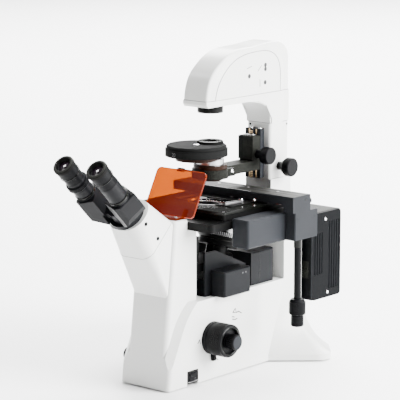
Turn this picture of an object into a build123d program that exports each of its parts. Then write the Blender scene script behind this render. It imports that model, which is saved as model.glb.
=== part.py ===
from build123d import *
import os
from math import cos, hypot, radians, sin

os.makedirs("parts", exist_ok=True)

# Inverted fluorescence microscope, in millimetres.
# +Z is up, -Y is the front with the eyepieces, +X the side with the stage drive.
# The origin lies on the table under the middle of the whole instrument.

# Optical axis and clearances
optic_y = 27.0
run_fit = 0.05
slide_gap = 0.3
seat_gap = 0.2

# Stand casting
foot_h = 2.5
base_half = 52.0
core_half = 40.0
base_front = -139.0
front_lean = 0.113
shelf_z = 137.0
bulge_low = 24.0
bulge_knee_y = -103.0
bulge_knee_z = 93.0
bulge_back = -66.0
front_edge_r = 8.0
foot_slope = 10.0
trunk_back = -56.0
trunk_top = 272.0
stage_seat = 255.0
notch_y = -78.0
post_front = 159.0
post_back = 208.0
post_top = 258.0
spine_half = 27.0
spine_front = 154.0
flare_front = 117.0
flare_half = 133.0
flare_corner_y = 188.0
flare_back = 247.0
flare_back_half = 82.0
flare_lip = 12.0
floor_plate = 3.0
floor_margin = 6.0
foot_r = 12.0

switch_front = -93.0
switch_back = -66.0
switch_top = 26.5
switch_deep = 9.0
dimmer_y = -105.0
dimmer_z = 40.0
dimmer_r = 11.0
port_z = 100.0
port_r = 25.0
port_len = 48.0
adapter_end = -144.0
adapter_r = 16.0
c_mount_r = 12.7
inlet_w = 48.0
inlet_h = 27.0
inlet_z = 45.0
inlet_y = 206.0

# Neck and binocular mount, on an axis inclined at 45 degrees
neck_foot_z = 150.0
tilt = 45.0
mount_y = -175.2
mount_z = 287.8
neck_half = 36.5
neck_w = 70.0
neck_d = 61.0
neck_seam = 56.6
mount_ring_r = 28.5
mount_ring_h = 8.0
pivot_r = 8.0

# Binocular head, along the inclined axis from the mount face
arm_turn = 20.0
arm_len = 36.8
hub_r = 22.0
hub_h = 9.5
prism_in = 20.0
prism_out = 54.0
prism_half = 20.0
prism_low = 30.6
prism_top = 68.6
prism_bevel = 7.0
tube_r = 15.9
tube_top = 106.0
eye_bore_r = 11.65
eyepiece_r = 11.6
eyepiece_head_r = 17.0
eyepiece_top = 141.0
eyepiece_depth = 24.0
dioptre_r = 18.6
dioptre_low = 92.0
dioptre_h = 9.0

# Light shield
shield_y = -77.0
shield_z = 273.5
shield_lean = 28.0
shield_w = 104.0
shield_len = 78.0
shield_t = 3.0
holder_w = 68.0
holder_h = 14.0

# Focus knobs, on one axis across the foot
focus_y = -30.0
focus_z = 71.0
shaft_r = 8.0
fine_shaft_r = 4.0
tension_r = 27.0
tension_t = 8.0
coarse_r = 27.0
coarse_face = 90.0
fine_r = 12.5
fine_face = 105.0

# Nosepiece
nose_tilt = 18.0
nose_pitch = 28.0
nose_seat_z = 238.0
nose_r = 33.0
nose_places = 5
objective_lengths = (37.0, 38.5, 28.0, 34.0)
guide_half = 18.0
guide_t = 6.0
carriage_half = 30.0
carriage_t = 12.0
nose_arm_z = 178.0
nose_arm_t = 13.0

# Stage
frame_half = 90.0
frame_back = 154.0
frame_t = 13.0
pad_half = 84.0
pad_front = -39.0
pad_back = 145.0
pad_t = 11.0
plate_half = 88.0
plate_front = -43.5
plate_back = 137.0
plate_t = 4.0
insert_r = 35.0
insert_open_r = 32.0

# Cross drive at the right of the stage
fixed_w = 34.0
fixed_front = -28.0
fixed_back = 132.0
fixed_drop = 29.0
fixed_rise = 17.0
moving_w = 19.7
moving_front = 69.0
moving_back = 130.0
rail_left = -110.0
rail_front = 63.0
rail_back = 109.0
rail_rise = 16.5
rail_web = 7.5
rail_leg = 9.8
rail_slot = 13.2
rail_gap = 1.7
slide_half = 60.0
slide_shift = 5.0
slide_window = 84.0
drive_x = 134.0
drive_y = 89.4
drive_r = 6.0
drive_core_r = 3.0
y_knob_r = 13.5
y_knob_low = 101.0
y_knob_h = 25.5
x_knob_r = 10.3
x_knob_low = 81.0
x_knob_h = 19.0

# Fluorescence unit on the shelf
filter_half = 36.0
filter_front = -33.0
filter_back = 72.0
filter_top = 166.0
panel_t = 3.0
panel_top = 210.0
slider_front = -20.0
slider_back = 46.5
slider_face = 70.0
slider_top = 180.0
epi_half = 45.0
epi_front = 79.0
epi_back = 147.0
epi_top = 192.0
epi_axis_z = 160.0
epi_tube_r = 20.0
lamp_half = 70.0
lamp_front = 215.0
lamp_back = 295.0
lamp_low = 90.0
lamp_top = 240.0
lamp_wall = 3.0

# Tilting column and lamp head
hinge_y = 204.0
hinge_z = 304.0
hinge_r = 7.0
pin_r = 3.0
knuckle_half = 19.7
column_half = 25.0
column_front = 154.0
column_top = 399.0
head_seam = 452.0
head_under = 441.4
head_top = 532.0
head_front = -12.0
head_panel_rise = 2.0
head_edge_r = 4.0
collector_r = 21.0
collector_low = 430.0
clamp_y = 178.0
clamp_z = 324.5
clamp_r = 15.5
clamp_face = 55.0

# Condenser
rail_half = 16.0
rail_face = 139.0
rail_low = 307.0
rail_high = 390.0
rack_half = 3.0
rack_t = 4.0
rack_pitch = 3.0
box_front = 119.0
box_low = 340.0
box_high = 380.0
arm_low = 322.0
arm_high = 338.0
arm_half = 15.0
ring_r = 30.0
lens_r = 24.0
screw_end = 69.0
screw_z = 327.5
barrel_r = 27.5
barrel_high = 344.0
silver_r = 22.7
silver_high = 353.5
turret_r = 51.0
turret_plate_r = 34.0
turret_x = -6.7
turret_y = 0.0
turret_low = 361.0
turret_h = 12.0
cover_h = 5.5
collar_r = 21.6
collar_h = 4.0
condenser_knob_y = 131.6
condenser_knob_z = 348.6
condenser_knob_r = 14.25
condenser_knob_face = 45.0

# Heights and planes that several pieces share
fixed_low = stage_seat - fixed_drop
fixed_top = stage_seat + fixed_rise
moving_low = fixed_low + 1
moving_top = fixed_top + 1
fixed_face = frame_half + fixed_w
moving_face = fixed_face + slide_gap
rail_right = moving_face + moving_w
pad_low = stage_seat + frame_t
plate_low = pad_low + pad_t
plate_top = plate_low + plate_t
rail_top = plate_top + rail_rise
rail_roof = rail_top - rail_web
mount_face = Plane(origin=(0, mount_y, mount_z), x_dir=(1, 0, 0), z_dir=(0, -sin(radians(tilt)), cos(radians(tilt))))
trunk_mid = (neck_foot_z + trunk_top) / 2


def front_at(z):
    """Y of the leaning front face at height z."""
    return base_front + front_lean * (z - foot_h)


neck_face = Plane(origin=(0, front_at(trunk_mid), trunk_mid), x_dir=(1, 0, 0), z_dir=(0, -1, front_lean))


def block(x, y, z, mode=Mode.ADD):
    """Box between the given (low, high) pairs, in the part that is open."""
    with Locations(((x[0] + x[1]) / 2, (y[0] + y[1]) / 2, (z[0] + z[1]) / 2)):
        Box(x[1] - x[0], y[1] - y[0], z[1] - z[0], mode=mode)


def disc(plane, radius, height, mode=Mode.ADD):
    """Cylinder standing on a plane, in the part that is open."""
    with Locations(plane):
        Cylinder(radius, height, align=(Align.CENTER, Align.CENTER, Align.MIN), mode=mode)


def upright(x, y, z):
    """Horizontal plane with its origin at a point."""
    return Plane(origin=(x, y, z))


def sideways(x, y, z):
    """Plane across the X axis, looking to +X, with its origin at a point."""
    return Plane(origin=(x, y, z), x_dir=(0, 1, 0), z_dir=(1, 0, 0))


def backward(x, y, z):
    """Plane across the Y axis, looking to +Y, with its origin at a point."""
    return Plane(origin=(x, y, z), x_dir=(1, 0, 0), z_dir=(0, 1, 0))


def shifted(plane, x, y, z):
    """The same plane with its origin at a point given in its own directions."""
    return Plane(origin=plane.from_local_coords((x, y, z)), x_dir=plane.x_dir, z_dir=plane.z_dir)


def spun(plane, angle):
    """The same plane turned about its own normal by an angle in degrees."""
    turn = radians(angle)
    return Plane(origin=plane.origin, x_dir=plane.x_dir * cos(turn) + plane.y_dir * sin(turn), z_dir=plane.z_dir)


def turned(plane, *points, mode=Mode.ADD):
    """Body turned about the plane's normal from (radius, height) corners, in the part that is open."""
    side = Plane(origin=plane.origin, x_dir=plane.x_dir, z_dir=plane.x_dir.cross(plane.z_dir))
    with BuildSketch(side) as profile:
        Polygon(*points, align=None)
    revolve(profile.sketch, axis=Axis(plane.origin, plane.z_dir), mode=mode)


def outline(*points):
    """Face with the given corners, in the sketch that is open."""
    Polygon(*points, align=None)


# Stand


def foot_side(x, grow):
    """Sketch of the wide foot's side outline across X, grown to the front and upwards."""
    rise = (bulge_knee_y - front_at(bulge_low), bulge_knee_z - bulge_low)
    run = hypot(*rise)
    knee = (bulge_knee_y - grow * rise[1] / run, bulge_knee_z + grow * rise[0] / run)
    low = bulge_low + grow * 3
    end = (bulge_back - 1.1 * grow, shelf_z)
    with BuildSketch(Plane.YZ.offset(x)) as side:
        with BuildLine():
            Polyline(end, (post_back, shelf_z), (post_back, foot_h), (base_front, foot_h), (front_at(low), low), knee)
            TangentArc(knee, end, tangent=(knee[0] - front_at(low), knee[1] - low))
        make_face()
    return side.sketch


with BuildPart() as base_frame:
    # Foot and trunk in one leaning side outline
    with BuildSketch(Plane.YZ):
        outline(
            (base_front, foot_h),
            (front_at(trunk_top), trunk_top),
            (notch_y, trunk_top),
            (notch_y, stage_seat),
            (trunk_back, stage_seat),
            (trunk_back, shelf_z),
            (post_back, shelf_z),
            (post_back, foot_h),
        )
    extrude(amount=core_half, both=True)
    fillet(base_frame.edges().filter_by(lambda e: e.length > trunk_top - 10), radius=front_edge_r)
    fillet(base_frame.edges().filter_by(Axis.X).group_by(Axis.Z)[-1].sort_by(Axis.Y)[0], radius=4)
    # Wide foot, whose bulging sides slope in to the trunk
    extrude(foot_side(-core_half, foot_slope), amount=2 * core_half)
    for side in (-1, 1):
        loft([foot_side(side * base_half, 0), foot_side(side * core_half, foot_slope)], ruled=True)
    rims = base_frame.edges().filter_by(lambda e: abs(abs(e.center().X) - base_half) < 0.1 and e.center().Y < bulge_back)
    fillet(rims.filter_by(lambda e: e.center().Z < bulge_low and abs(e.tangent_at(0.5).Z) > 0.5), radius=front_edge_r)
    # Post that carries the column
    block((-base_half, base_half), (post_front, post_back), (shelf_z, post_top))
    block((-spine_half, spine_half), (spine_front, post_back), (post_top - 30, hinge_z))
    # Flared rear foot, swelling down to a straight lip
    flare_steps = [(flare_lip, 1.0), (45.0, 0.4), (85.0, 0.12), (shelf_z, 0.0)]
    for level, swell in flare_steps:
        with BuildSketch(Plane.XY.offset(level)):
            with BuildLine():
                side_x = base_half + (flare_half - base_half) * swell
                back_x = base_half - 4 + (flare_back_half - base_half + 4) * swell
                start_y = post_front + (flare_front - post_front) * (shelf_z - level) / (shelf_z - flare_lip)
                corner_y = post_front + 22 + (flare_corner_y - post_front - 22) * swell
                back_y = post_back + (flare_back - post_back) * swell
                half = [(base_half - 1, start_y), (side_x, corner_y), (back_x, back_y)]
                Polyline(*half, *[(-x, y) for x, y in reversed(half)], close=True)
            make_face()
            fillet(vertices().filter_by(lambda v: abs(v.X) > base_half - 5 and v.Y > start_y + 1), radius=4 + 20 * swell)
    loft()
    with BuildSketch(Plane.XY.offset(foot_h)):
        with BuildLine():
            half = [(base_half - 1, flare_front), (flare_half, flare_corner_y), (flare_back_half, flare_back)]
            Polyline(*half, *[(-x, y) for x, y in reversed(half)], close=True)
        make_face()
        fillet(vertices().filter_by(lambda v: v.Y > flare_front + 1), radius=24)
    extrude(amount=flare_lip - foot_h)

    # Seat of the bottom plate and bore of the focus shaft
    block(
        (floor_margin - base_half, base_half - floor_margin),
        (base_front + floor_margin, post_back),
        (foot_h, foot_h + floor_plate),
        mode=Mode.SUBTRACT,
    )
    disc(sideways(-base_half - 1, focus_y, focus_z), shaft_r + run_fit, 2 * base_half + 2, mode=Mode.SUBTRACT)
    # Pockets of the power switch and of the mains inlet
    block((base_half - switch_deep, base_half + 1), (switch_front, switch_back), (foot_h, switch_top), mode=Mode.SUBTRACT)
    block(
        (-inlet_w / 2 - seat_gap, inlet_w / 2 + seat_gap),
        (inlet_y, flare_back + 1),
        (inlet_z - inlet_h / 2 - seat_gap, inlet_z + inlet_h / 2 + seat_gap),
        mode=Mode.SUBTRACT,
    )
    # Bore of the brightness knob and bore of the fluorescence tube
    disc(sideways(-base_half - 1, dimmer_y, dimmer_z), pin_r + run_fit, 12, mode=Mode.SUBTRACT)
    disc(backward(0, post_front - 1, epi_axis_z), epi_tube_r + seat_gap, post_back - post_front + 20, mode=Mode.SUBTRACT)
    # Ears of the column hinge, with the gap for the knuckle between them
    disc(sideways(-spine_half, hinge_y, hinge_z), hinge_r, 2 * spine_half)
    block(
        (-knuckle_half - slide_gap, knuckle_half + slide_gap),
        (hinge_y - hinge_r - 1, hinge_y + hinge_r + 1),
        (hinge_z - hinge_r - 1, hinge_z + hinge_r + 1),
        mode=Mode.SUBTRACT,
    )
    disc(sideways(-spine_half, hinge_y, hinge_z), pin_r + run_fit, 2 * spine_half, mode=Mode.SUBTRACT)

base_frame.part.label = "base_frame"
export_step(base_frame.part, "parts/base_frame.step")

with BuildPart() as bottom_plate:
    block(
        (floor_margin - base_half + seat_gap, base_half - floor_margin - seat_gap),
        (base_front + floor_margin + seat_gap, post_back - seat_gap),
        (foot_h, foot_h + floor_plate),
    )

bottom_plate.part.label = "bottom_plate"
export_step(bottom_plate.part, "parts/bottom_plate.step")

with BuildPart() as rubber_feet:
    with BuildSketch(Plane.XY):
        with Locations((-34, base_front + 30), (34, base_front + 30)):
            Circle(foot_r)
        with Locations((-flare_back_half, flare_corner_y), (flare_back_half, flare_corner_y)):
            Circle(foot_r)
    extrude(amount=foot_h)
    chamfer(rubber_feet.edges().group_by(Axis.Z)[0], length=0.8)

rubber_feet.part.label = "rubber_feet"
export_step(rubber_feet.part, "parts/rubber_feet.step")

with BuildPart() as neck_lower:
    with BuildSketch(neck_face):
        RectangleRounded(2 * neck_half, (trunk_top - neck_foot_z) * hypot(1, front_lean), 7)
    with BuildSketch(mount_face):
        with Locations((0, 2.5)):
            RectangleRounded(neck_w, neck_d, 28)
    loft()

neck_whole = neck_lower.part

with BuildPart() as neck_upper:
    add(neck_whole)
    split(bisect_by=mount_face.offset(-neck_seam), keep=Keep.TOP)

with BuildPart() as neck_lower:
    add(neck_whole)
    split(bisect_by=mount_face.offset(-neck_seam), keep=Keep.BOTTOM)

neck_upper.part.label = "neck_upper"
export_step(neck_upper.part, "parts/neck_upper.step")
neck_lower.part.label = "neck_lower"
export_step(neck_lower.part, "parts/neck_lower.step")

switch_mid = (switch_front + switch_back) / 2
switch_half = (switch_back - switch_front) / 2
rocker_z = 15.2
rocker_half = 6.7
rocker_wide = 8.2

with BuildPart() as switch_bezel:
    block(
        (base_half - switch_deep, base_half + 0.8),
        (switch_front + seat_gap, switch_back - seat_gap),
        (foot_h + floor_plate + seat_gap, switch_top - seat_gap),
    )
    block(
        (base_half - switch_deep + 2, base_half + 1),
        (switch_mid - rocker_wide - slide_gap, switch_mid + rocker_wide + slide_gap),
        (rocker_z - rocker_half - 0.8, rocker_z + rocker_half + 0.8),
        mode=Mode.SUBTRACT,
    )
    disc(backward(base_half - 3, switch_front + 2, rocker_z), 1.2 + run_fit, 2 * switch_half - 4, mode=Mode.SUBTRACT)

switch_bezel.part.label = "switch_bezel"
export_step(switch_bezel.part, "parts/switch_bezel.step")

with BuildPart() as power_rocker:
    with BuildSketch(backward(0, switch_mid - rocker_wide, rocker_z)):
        outline(
            (base_half - 5, rocker_half - 1),
            (base_half + 2.2, rocker_half),
            (base_half + 1, 0),
            (base_half + 2.2, -rocker_half),
            (base_half - 5, 1 - rocker_half),
        )
    extrude(amount=2 * rocker_wide)
    disc(backward(base_half - 3, switch_mid - rocker_wide - 2, rocker_z), 1.2, 2 * rocker_wide + 4)

power_rocker.part.label = "power_rocker"
export_step(power_rocker.part, "parts/power_rocker.step")

with BuildPart() as brightness_knob:
    turned(
        sideways(-base_half, dimmer_y, dimmer_z),
        (0, 10),
        (pin_r, 10),
        (pin_r, -slide_gap),
        (dimmer_r, -slide_gap),
        (dimmer_r, -11),
        (dimmer_r - 1, -14),
        (0, -14),
    )

brightness_knob.part.label = "brightness_knob"
export_step(brightness_knob.part, "parts/brightness_knob.step")

with BuildPart() as camera_port_tube:
    turned(
        sideways(-base_half, optic_y, port_z),
        (port_r + 3, 0),
        (port_r + 3, -5),
        (port_r, -6),
        (port_r, -port_len),
        (port_r - 5, -port_len),
        (port_r - 5, 0),
    )

camera_port_tube.part.label = "camera_port_tube"
export_step(camera_port_tube.part, "parts/camera_port_tube.step")

with BuildPart() as c_mount_adapter:
    turned(
        sideways(-base_half - port_len, optic_y, port_z),
        (port_r - 1, 0),
        (port_r - 1, -8),
        (adapter_r, -14),
        (adapter_r, adapter_end + base_half + port_len),
        (c_mount_r, adapter_end + base_half + port_len),
        (c_mount_r, adapter_end + base_half + port_len + 8),
        (c_mount_r - 2, adapter_end + base_half + port_len + 8),
        (c_mount_r - 2, 0),
    )

c_mount_adapter.part.label = "c_mount_adapter"
export_step(c_mount_adapter.part, "parts/c_mount_adapter.step")

with BuildPart() as mains_inlet:
    block((-inlet_w / 2, inlet_w / 2), (inlet_y, inlet_y + 10), (inlet_z - inlet_h / 2, inlet_z + inlet_h / 2))
    block((-12, 12), (inlet_y + 2, inlet_y + 10), (inlet_z - 8, inlet_z + 8), mode=Mode.SUBTRACT)
    with BuildSketch(backward(0, inlet_y + 2, inlet_z)):
        with Locations((-7, 1), (0, -3), (7, 1)):
            Rectangle(2, 4)
    extrude(amount=6)

mains_inlet.part.label = "mains_inlet"
export_step(mains_inlet.part, "parts/mains_inlet.step")

# Binocular head

hub_low = mount_ring_h + slide_gap
second_hub_low = hub_low + hub_h + slide_gap
cap_low = second_hub_low + hub_h + slide_gap

with BuildPart() as bino_mount_ring:
    turned(
        mount_face,
        (0, 0),
        (mount_ring_r, 0),
        (mount_ring_r, mount_ring_h),
        (pivot_r, mount_ring_h),
        (pivot_r, cap_low),
        (hub_r - 6, cap_low),
        (hub_r - 6, cap_low + 3),
        (0, cap_low + 3),
    )

bino_mount_ring.part.label = "bino_mount_ring"
export_step(bino_mount_ring.part, "parts/bino_mount_ring.step")


def prism_house(turn, low):
    """Prism housing on its hub, with the eyepiece tube, for the arm turned by an angle."""
    arm = spun(mount_face, turn)
    side = Plane(origin=arm.origin, x_dir=arm.x_dir, z_dir=arm.x_dir.cross(arm.z_dir))
    with BuildPart() as house:
        with BuildSketch(side):
            outline(
                (hub_r + 2, hub_low),
                (prism_out - 5, prism_low - 4),
                (prism_out, prism_low + prism_bevel),
                (prism_out, prism_top),
                (prism_in, prism_top),
                (prism_in, cap_low + 5),
                (hub_r + 2, cap_low + 5),
            )
        extrude(amount=prism_half, both=True)
        outer = house.edges().filter_by(lambda e: arm.to_local_coords(e.center()).X > prism_out - 1)
        eye_side = -1 if turn > -90 else 1
        chamfer(outer.filter_by(lambda e: arm.to_local_coords(e.center()).Y * eye_side > prism_half - 1), length=prism_bevel)
        outer = house.edges().filter_by(lambda e: arm.to_local_coords(e.center()).X > prism_out - 1)
        fillet(outer.filter_by(lambda e: arm.to_local_coords(e.center()).Z > prism_top - 1), radius=3)
        disc(shifted(arm, 0, 0, low), hub_r, hub_h)
        with Locations(shifted(arm, (hub_r + 3) / 2, 0, low + hub_h / 2)):
            Box(hub_r + 3, 28, hub_h)
        disc(shifted(arm, 0, 0, low), pivot_r + run_fit, hub_h, mode=Mode.SUBTRACT)
        disc(shifted(arm, arm_len, 0, prism_top), tube_r + 1.2, 3)
        disc(shifted(arm, arm_len, 0, prism_top), tube_r, tube_top - prism_top)
        disc(shifted(arm, arm_len, 0, tube_top - eyepiece_depth - 2), eye_bore_r, eyepiece_depth + 2, mode=Mode.SUBTRACT)
    return house


def eyepiece(turn):
    """Eyepiece pushed into the tube of the arm turned by an angle."""
    arm = spun(mount_face, turn)
    with BuildPart() as piece:
        turned(
            shifted(arm, arm_len, 0, tube_top),
            (0, -eyepiece_depth),
            (eyepiece_r, -eyepiece_depth),
            (eyepiece_r, 0),
            (tube_r - 0.4, 0),
            (tube_r - 0.4, 14),
            (eyepiece_head_r - 0.6, 17),
            (eyepiece_head_r, eyepiece_top - tube_top - 1.5),
            (eyepiece_head_r - 1.5, eyepiece_top - tube_top),
            (eyepiece_head_r - 4.5, eyepiece_top - tube_top),
            (eyepiece_head_r - 7, eyepiece_top - tube_top - 5),
            (0, eyepiece_top - tube_top - 4),
        )
    return piece


prism_right = prism_house(-arm_turn, hub_low)
prism_right.part.label = "prism_right"
export_step(prism_right.part, "parts/prism_right.step")

prism_left = prism_house(arm_turn - 180, second_hub_low)
prism_left.part.label = "prism_left"
export_step(prism_left.part, "parts/prism_left.step")

eyepiece_right = eyepiece(-arm_turn)
eyepiece_right.part.label = "eyepiece_right"
export_step(eyepiece_right.part, "parts/eyepiece_right.step")

eyepiece_left = eyepiece(arm_turn - 180)
eyepiece_left.part.label = "eyepiece_left"
export_step(eyepiece_left.part, "parts/eyepiece_left.step")

with BuildPart() as dioptre_ring:
    turned(
        shifted(spun(mount_face, arm_turn - 180), arm_len, 0, dioptre_low),
        (tube_r + run_fit, 0),
        (dioptre_r - 0.8, 0),
        (dioptre_r, 1),
        (dioptre_r, dioptre_h - 1),
        (dioptre_r - 0.8, dioptre_h),
        (tube_r + run_fit, dioptre_h),
    )

dioptre_ring.part.label = "dioptre_ring"
export_step(dioptre_ring.part, "parts/dioptre_ring.step")

# Light shield in its slotted holder
lean = radians(shield_lean)
shield_face = Plane(origin=(0, shield_y, shield_z), x_dir=(1, 0, 0), z_dir=(0, -cos(lean), sin(lean)))

with BuildPart() as light_shield:
    with BuildSketch(shield_face):
        with Locations((0, shield_len / 2)):
            Rectangle(shield_w, shield_len)
        fillet(vertices().group_by(Axis.Y)[-1], radius=8)
        chamfer(vertices().group_by(Axis.Y)[0], length=4)
    extrude(amount=shield_t)

light_shield.part.label = "light_shield"
export_step(light_shield.part, "parts/light_shield.step")

with BuildPart() as shield_holder:
    block((-holder_w / 2, holder_w / 2), (shield_y - 22, notch_y - 1), (trunk_top, trunk_top + 4))
    with Locations(shifted(shield_face, 0, (holder_h - 1.5) / 2, 3)):
        Box(holder_w, holder_h + 1.5, 11)
    with Locations(shifted(shield_face, 0, holder_h / 2 + 1, shield_t / 2)):
        Box(shield_w, holder_h + 2, shield_t + 2 * 0.1, mode=Mode.SUBTRACT)

shield_holder.part.label = "shield_holder"
export_step(shield_holder.part, "parts/shield_holder.step")

# Focus knobs

with BuildPart() as coarse_knobs:
    rim = coarse_face
    hub = base_half + tension_t + 2 * slide_gap + 0.7
    turned(
        sideways(0, focus_y, focus_z),
        (fine_shaft_r + run_fit, 6 - rim),
        (coarse_r - 5, 6 - rim),
        (coarse_r - 5, -rim),
        (coarse_r - 1, -rim),
        (coarse_r, 1 - rim),
        (coarse_r, -hub),
        (shaft_r, -hub),
        (shaft_r, hub),
        (coarse_r, hub),
        (coarse_r, rim - 1),
        (coarse_r - 1, rim),
        (coarse_r - 5, rim),
        (coarse_r - 5, rim - 6),
        (fine_shaft_r + run_fit, rim - 6),
    )

coarse_knobs.part.label = "coarse_knobs"
export_step(coarse_knobs.part, "parts/coarse_knobs.step")

with BuildPart() as fine_knobs:
    turned(
        sideways(0, focus_y, focus_z),
        (0, -fine_face),
        (fine_r - 1, -fine_face),
        (fine_r, 1 - fine_face),
        (fine_r, slide_gap - rim + 2),
        (fine_r - 3, 2 * slide_gap + 5 - rim),
        (fine_shaft_r, 2 * slide_gap + 5 - rim),
        (fine_shaft_r, rim - 5 - 2 * slide_gap),
        (fine_r - 3, rim - 5 - 2 * slide_gap),
        (fine_r, rim - 2 - slide_gap),
        (fine_r, fine_face - 1),
        (fine_r - 1, fine_face),
        (0, fine_face),
    )

fine_knobs.part.label = "fine_knobs"
export_step(fine_knobs.part, "parts/fine_knobs.step")

with BuildPart() as tension_ring:
    turned(
        sideways(base_half + slide_gap, focus_y, focus_z),
        (shaft_r + run_fit, 0),
        (tension_r, 0),
        (tension_r, tension_t - 1.5),
        (tension_r - 1.5, tension_t),
        (shaft_r + run_fit, tension_t),
    )
    with BuildSketch(sideways(base_half + slide_gap, focus_y, focus_z)):
        outline((-5, 4 - tension_r), (-3.5, -tension_r - 11), (3.5, -tension_r - 11), (5, 4 - tension_r))
    extrude(amount=5)

tension_ring.part.label = "tension_ring"
export_step(tension_ring.part, "parts/tension_ring.step")

# Nosepiece, its carriage and its guide
lean = radians(nose_tilt)
nose_face = Plane(
    origin=(0, optic_y + nose_pitch * cos(lean), nose_seat_z - nose_pitch * sin(lean)),
    x_dir=(1, 0, 0),
    z_dir=(0, sin(lean), cos(lean)),
)
nose_depth = 26.0
rms_r = 10.16


def objective_seat(place):
    """Seat plane of one objective, looking out of the nosepiece."""
    turned_face = spun(nose_face, place * 360 / nose_places)
    seat = shifted(turned_face, 0, -nose_pitch, 0)
    return Plane(origin=seat.origin, x_dir=seat.x_dir, z_dir=seat.z_dir * cos(lean) - turned_face.y_dir * sin(lean))


with BuildPart() as focus_guide:
    block((-guide_half, guide_half), (trunk_back, trunk_back + guide_t), (shelf_z + 4, stage_seat - 4))

focus_guide.part.label = "focus_guide"
export_step(focus_guide.part, "parts/focus_guide.step")

carriage_front = trunk_back + guide_t + slide_gap
boss_low = nose_face.offset(-nose_depth - slide_gap)

with BuildPart() as focus_carriage:
    block(
        (-carriage_half, carriage_half),
        (carriage_front, carriage_front + carriage_t),
        (nose_arm_z, stage_seat - 18),
    )
    with BuildSketch(Plane.XY.offset(nose_arm_z)):
        with Locations((0, (carriage_front + optic_y) / 2)):
            Rectangle(2 * carriage_half, optic_y - carriage_front)
        with Locations((0, optic_y + 12)):
            Circle(carriage_half)
    extrude(amount=nose_arm_t)
    with BuildSketch(boss_low):
        Circle(18)
    extrude(amount=-22)
    block((-60, 60), (-60, 100), (nose_arm_z - 30, nose_arm_z), mode=Mode.SUBTRACT)
    disc(boss_low, 6, nose_depth / 2)
    disc(upright(0, optic_y, nose_arm_z - 1), 9, nose_arm_t + 30, mode=Mode.SUBTRACT)

focus_carriage.part.label = "focus_carriage"
export_step(focus_carriage.part, "parts/focus_carriage.step")

with BuildPart() as nosepiece:
    turned(
        nose_face,
        (0, -nose_depth),
        (nose_r, -nose_depth),
        (nose_r, -15),
        (nose_r + 5, -9),
        (nose_r + 5.5, (nose_pitch - nose_r - 5.5) * sin(lean) / cos(lean)),
        (12, (nose_pitch - 12) * sin(lean) / cos(lean)),
        (0, (nose_pitch - 12) * sin(lean) / cos(lean)),
    )
    disc(boss_low, 6 + run_fit, nose_depth / 2 + 1, mode=Mode.SUBTRACT)
    for place in range(nose_places):
        disc(objective_seat(place).offset(-8), rms_r, 20, mode=Mode.SUBTRACT)

nosepiece.part.label = "nosepiece"
export_step(nosepiece.part, "parts/nosepiece.step")

with BuildPart() as objectives:
    for place, length in enumerate(objective_lengths):
        turned(
            objective_seat(place),
            (0, -5),
            (rms_r - run_fit, -5),
            (rms_r - run_fit, 0),
            (12, 0),
            (12, length * 0.55),
            (10, length * 0.6),
            (10, length * 0.75),
            (5.5, length),
            (0, length),
        )

objectives.part.label = "objectives"
export_step(objectives.part, "parts/objectives.step")

# Stage

with BuildPart() as stage_frame:
    with BuildSketch(Plane.XY.offset(stage_seat)):
        with Locations((0, (notch_y + slide_gap + frame_back) / 2)):
            RectangleRounded(2 * frame_half, frame_back - notch_y - slide_gap, 9)
        with Locations((0, 42)):
            RectangleRounded(124, 180, 14, mode=Mode.SUBTRACT)
    extrude(amount=frame_t)

stage_frame.part.label = "stage_frame"
export_step(stage_frame.part, "parts/stage_frame.step")

with BuildPart() as stage_pad:
    with BuildSketch(Plane.XY.offset(pad_low)):
        with Locations((0, (pad_front + pad_back) / 2)):
            RectangleRounded(2 * pad_half, pad_back - pad_front, 5)
        with Locations((0, optic_y + 10)):
            Circle(60, mode=Mode.SUBTRACT)
    extrude(amount=pad_t)

stage_pad.part.label = "stage_pad"
export_step(stage_pad.part, "parts/stage_pad.step")

with BuildPart() as stage_plate:
    with BuildSketch(Plane.XY.offset(plate_low)):
        with Locations((0, (plate_front + plate_back) / 2)):
            RectangleRounded(2 * plate_half, plate_back - plate_front, 4)
        with Locations((0, optic_y)):
            Circle(insert_r + seat_gap, mode=Mode.SUBTRACT)
    extrude(amount=plate_t)
    disc(upright(0, optic_y, plate_low), insert_r + 2, 1.5)
    disc(upright(0, optic_y, plate_low - 1), insert_open_r + 1, 4, mode=Mode.SUBTRACT)

stage_plate.part.label = "stage_plate"
export_step(stage_plate.part, "parts/stage_plate.step")

with BuildPart() as stage_insert:
    turned(
        upright(0, optic_y, plate_low + 1.5),
        (insert_open_r - 2, 0),
        (insert_r, 0),
        (insert_r, plate_t - 1.5),
        (insert_open_r, plate_t - 1.5),
        (insert_open_r - 2, 0.8),
    )

stage_insert.part.label = "stage_insert"
export_step(stage_insert.part, "parts/stage_insert.step")

# Cross drive

with BuildPart() as cross_block:
    block((frame_half, fixed_face), (fixed_front, fixed_back), (fixed_low, fixed_top))
    fillet(cross_block.edges().filter_by(Axis.Z).sort_by(Axis.Y)[0:2], radius=4)
    chamfer(cross_block.edges().filter_by(Axis.Y).group_by(Axis.X)[-1], length=1.5)

cross_block.part.label = "cross_block"
export_step(cross_block.part, "parts/cross_block.step")

with BuildPart() as stage_y_block:
    block((moving_face, rail_right), (moving_front, moving_back), (moving_low, moving_top))
    chamfer(stage_y_block.edges().filter_by(Axis.Z), length=1.5)
    disc(upright(drive_x, drive_y, moving_low), drive_core_r + run_fit, 14, mode=Mode.SUBTRACT)

stage_y_block.part.label = "stage_y_block"
export_step(stage_y_block.part, "parts/stage_y_block.step")

rail_inner = rail_front + rail_leg
rail_rear = rail_inner + rail_slot
lock_x = rail_right - 9
lock_z = plate_top + 4.0

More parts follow.
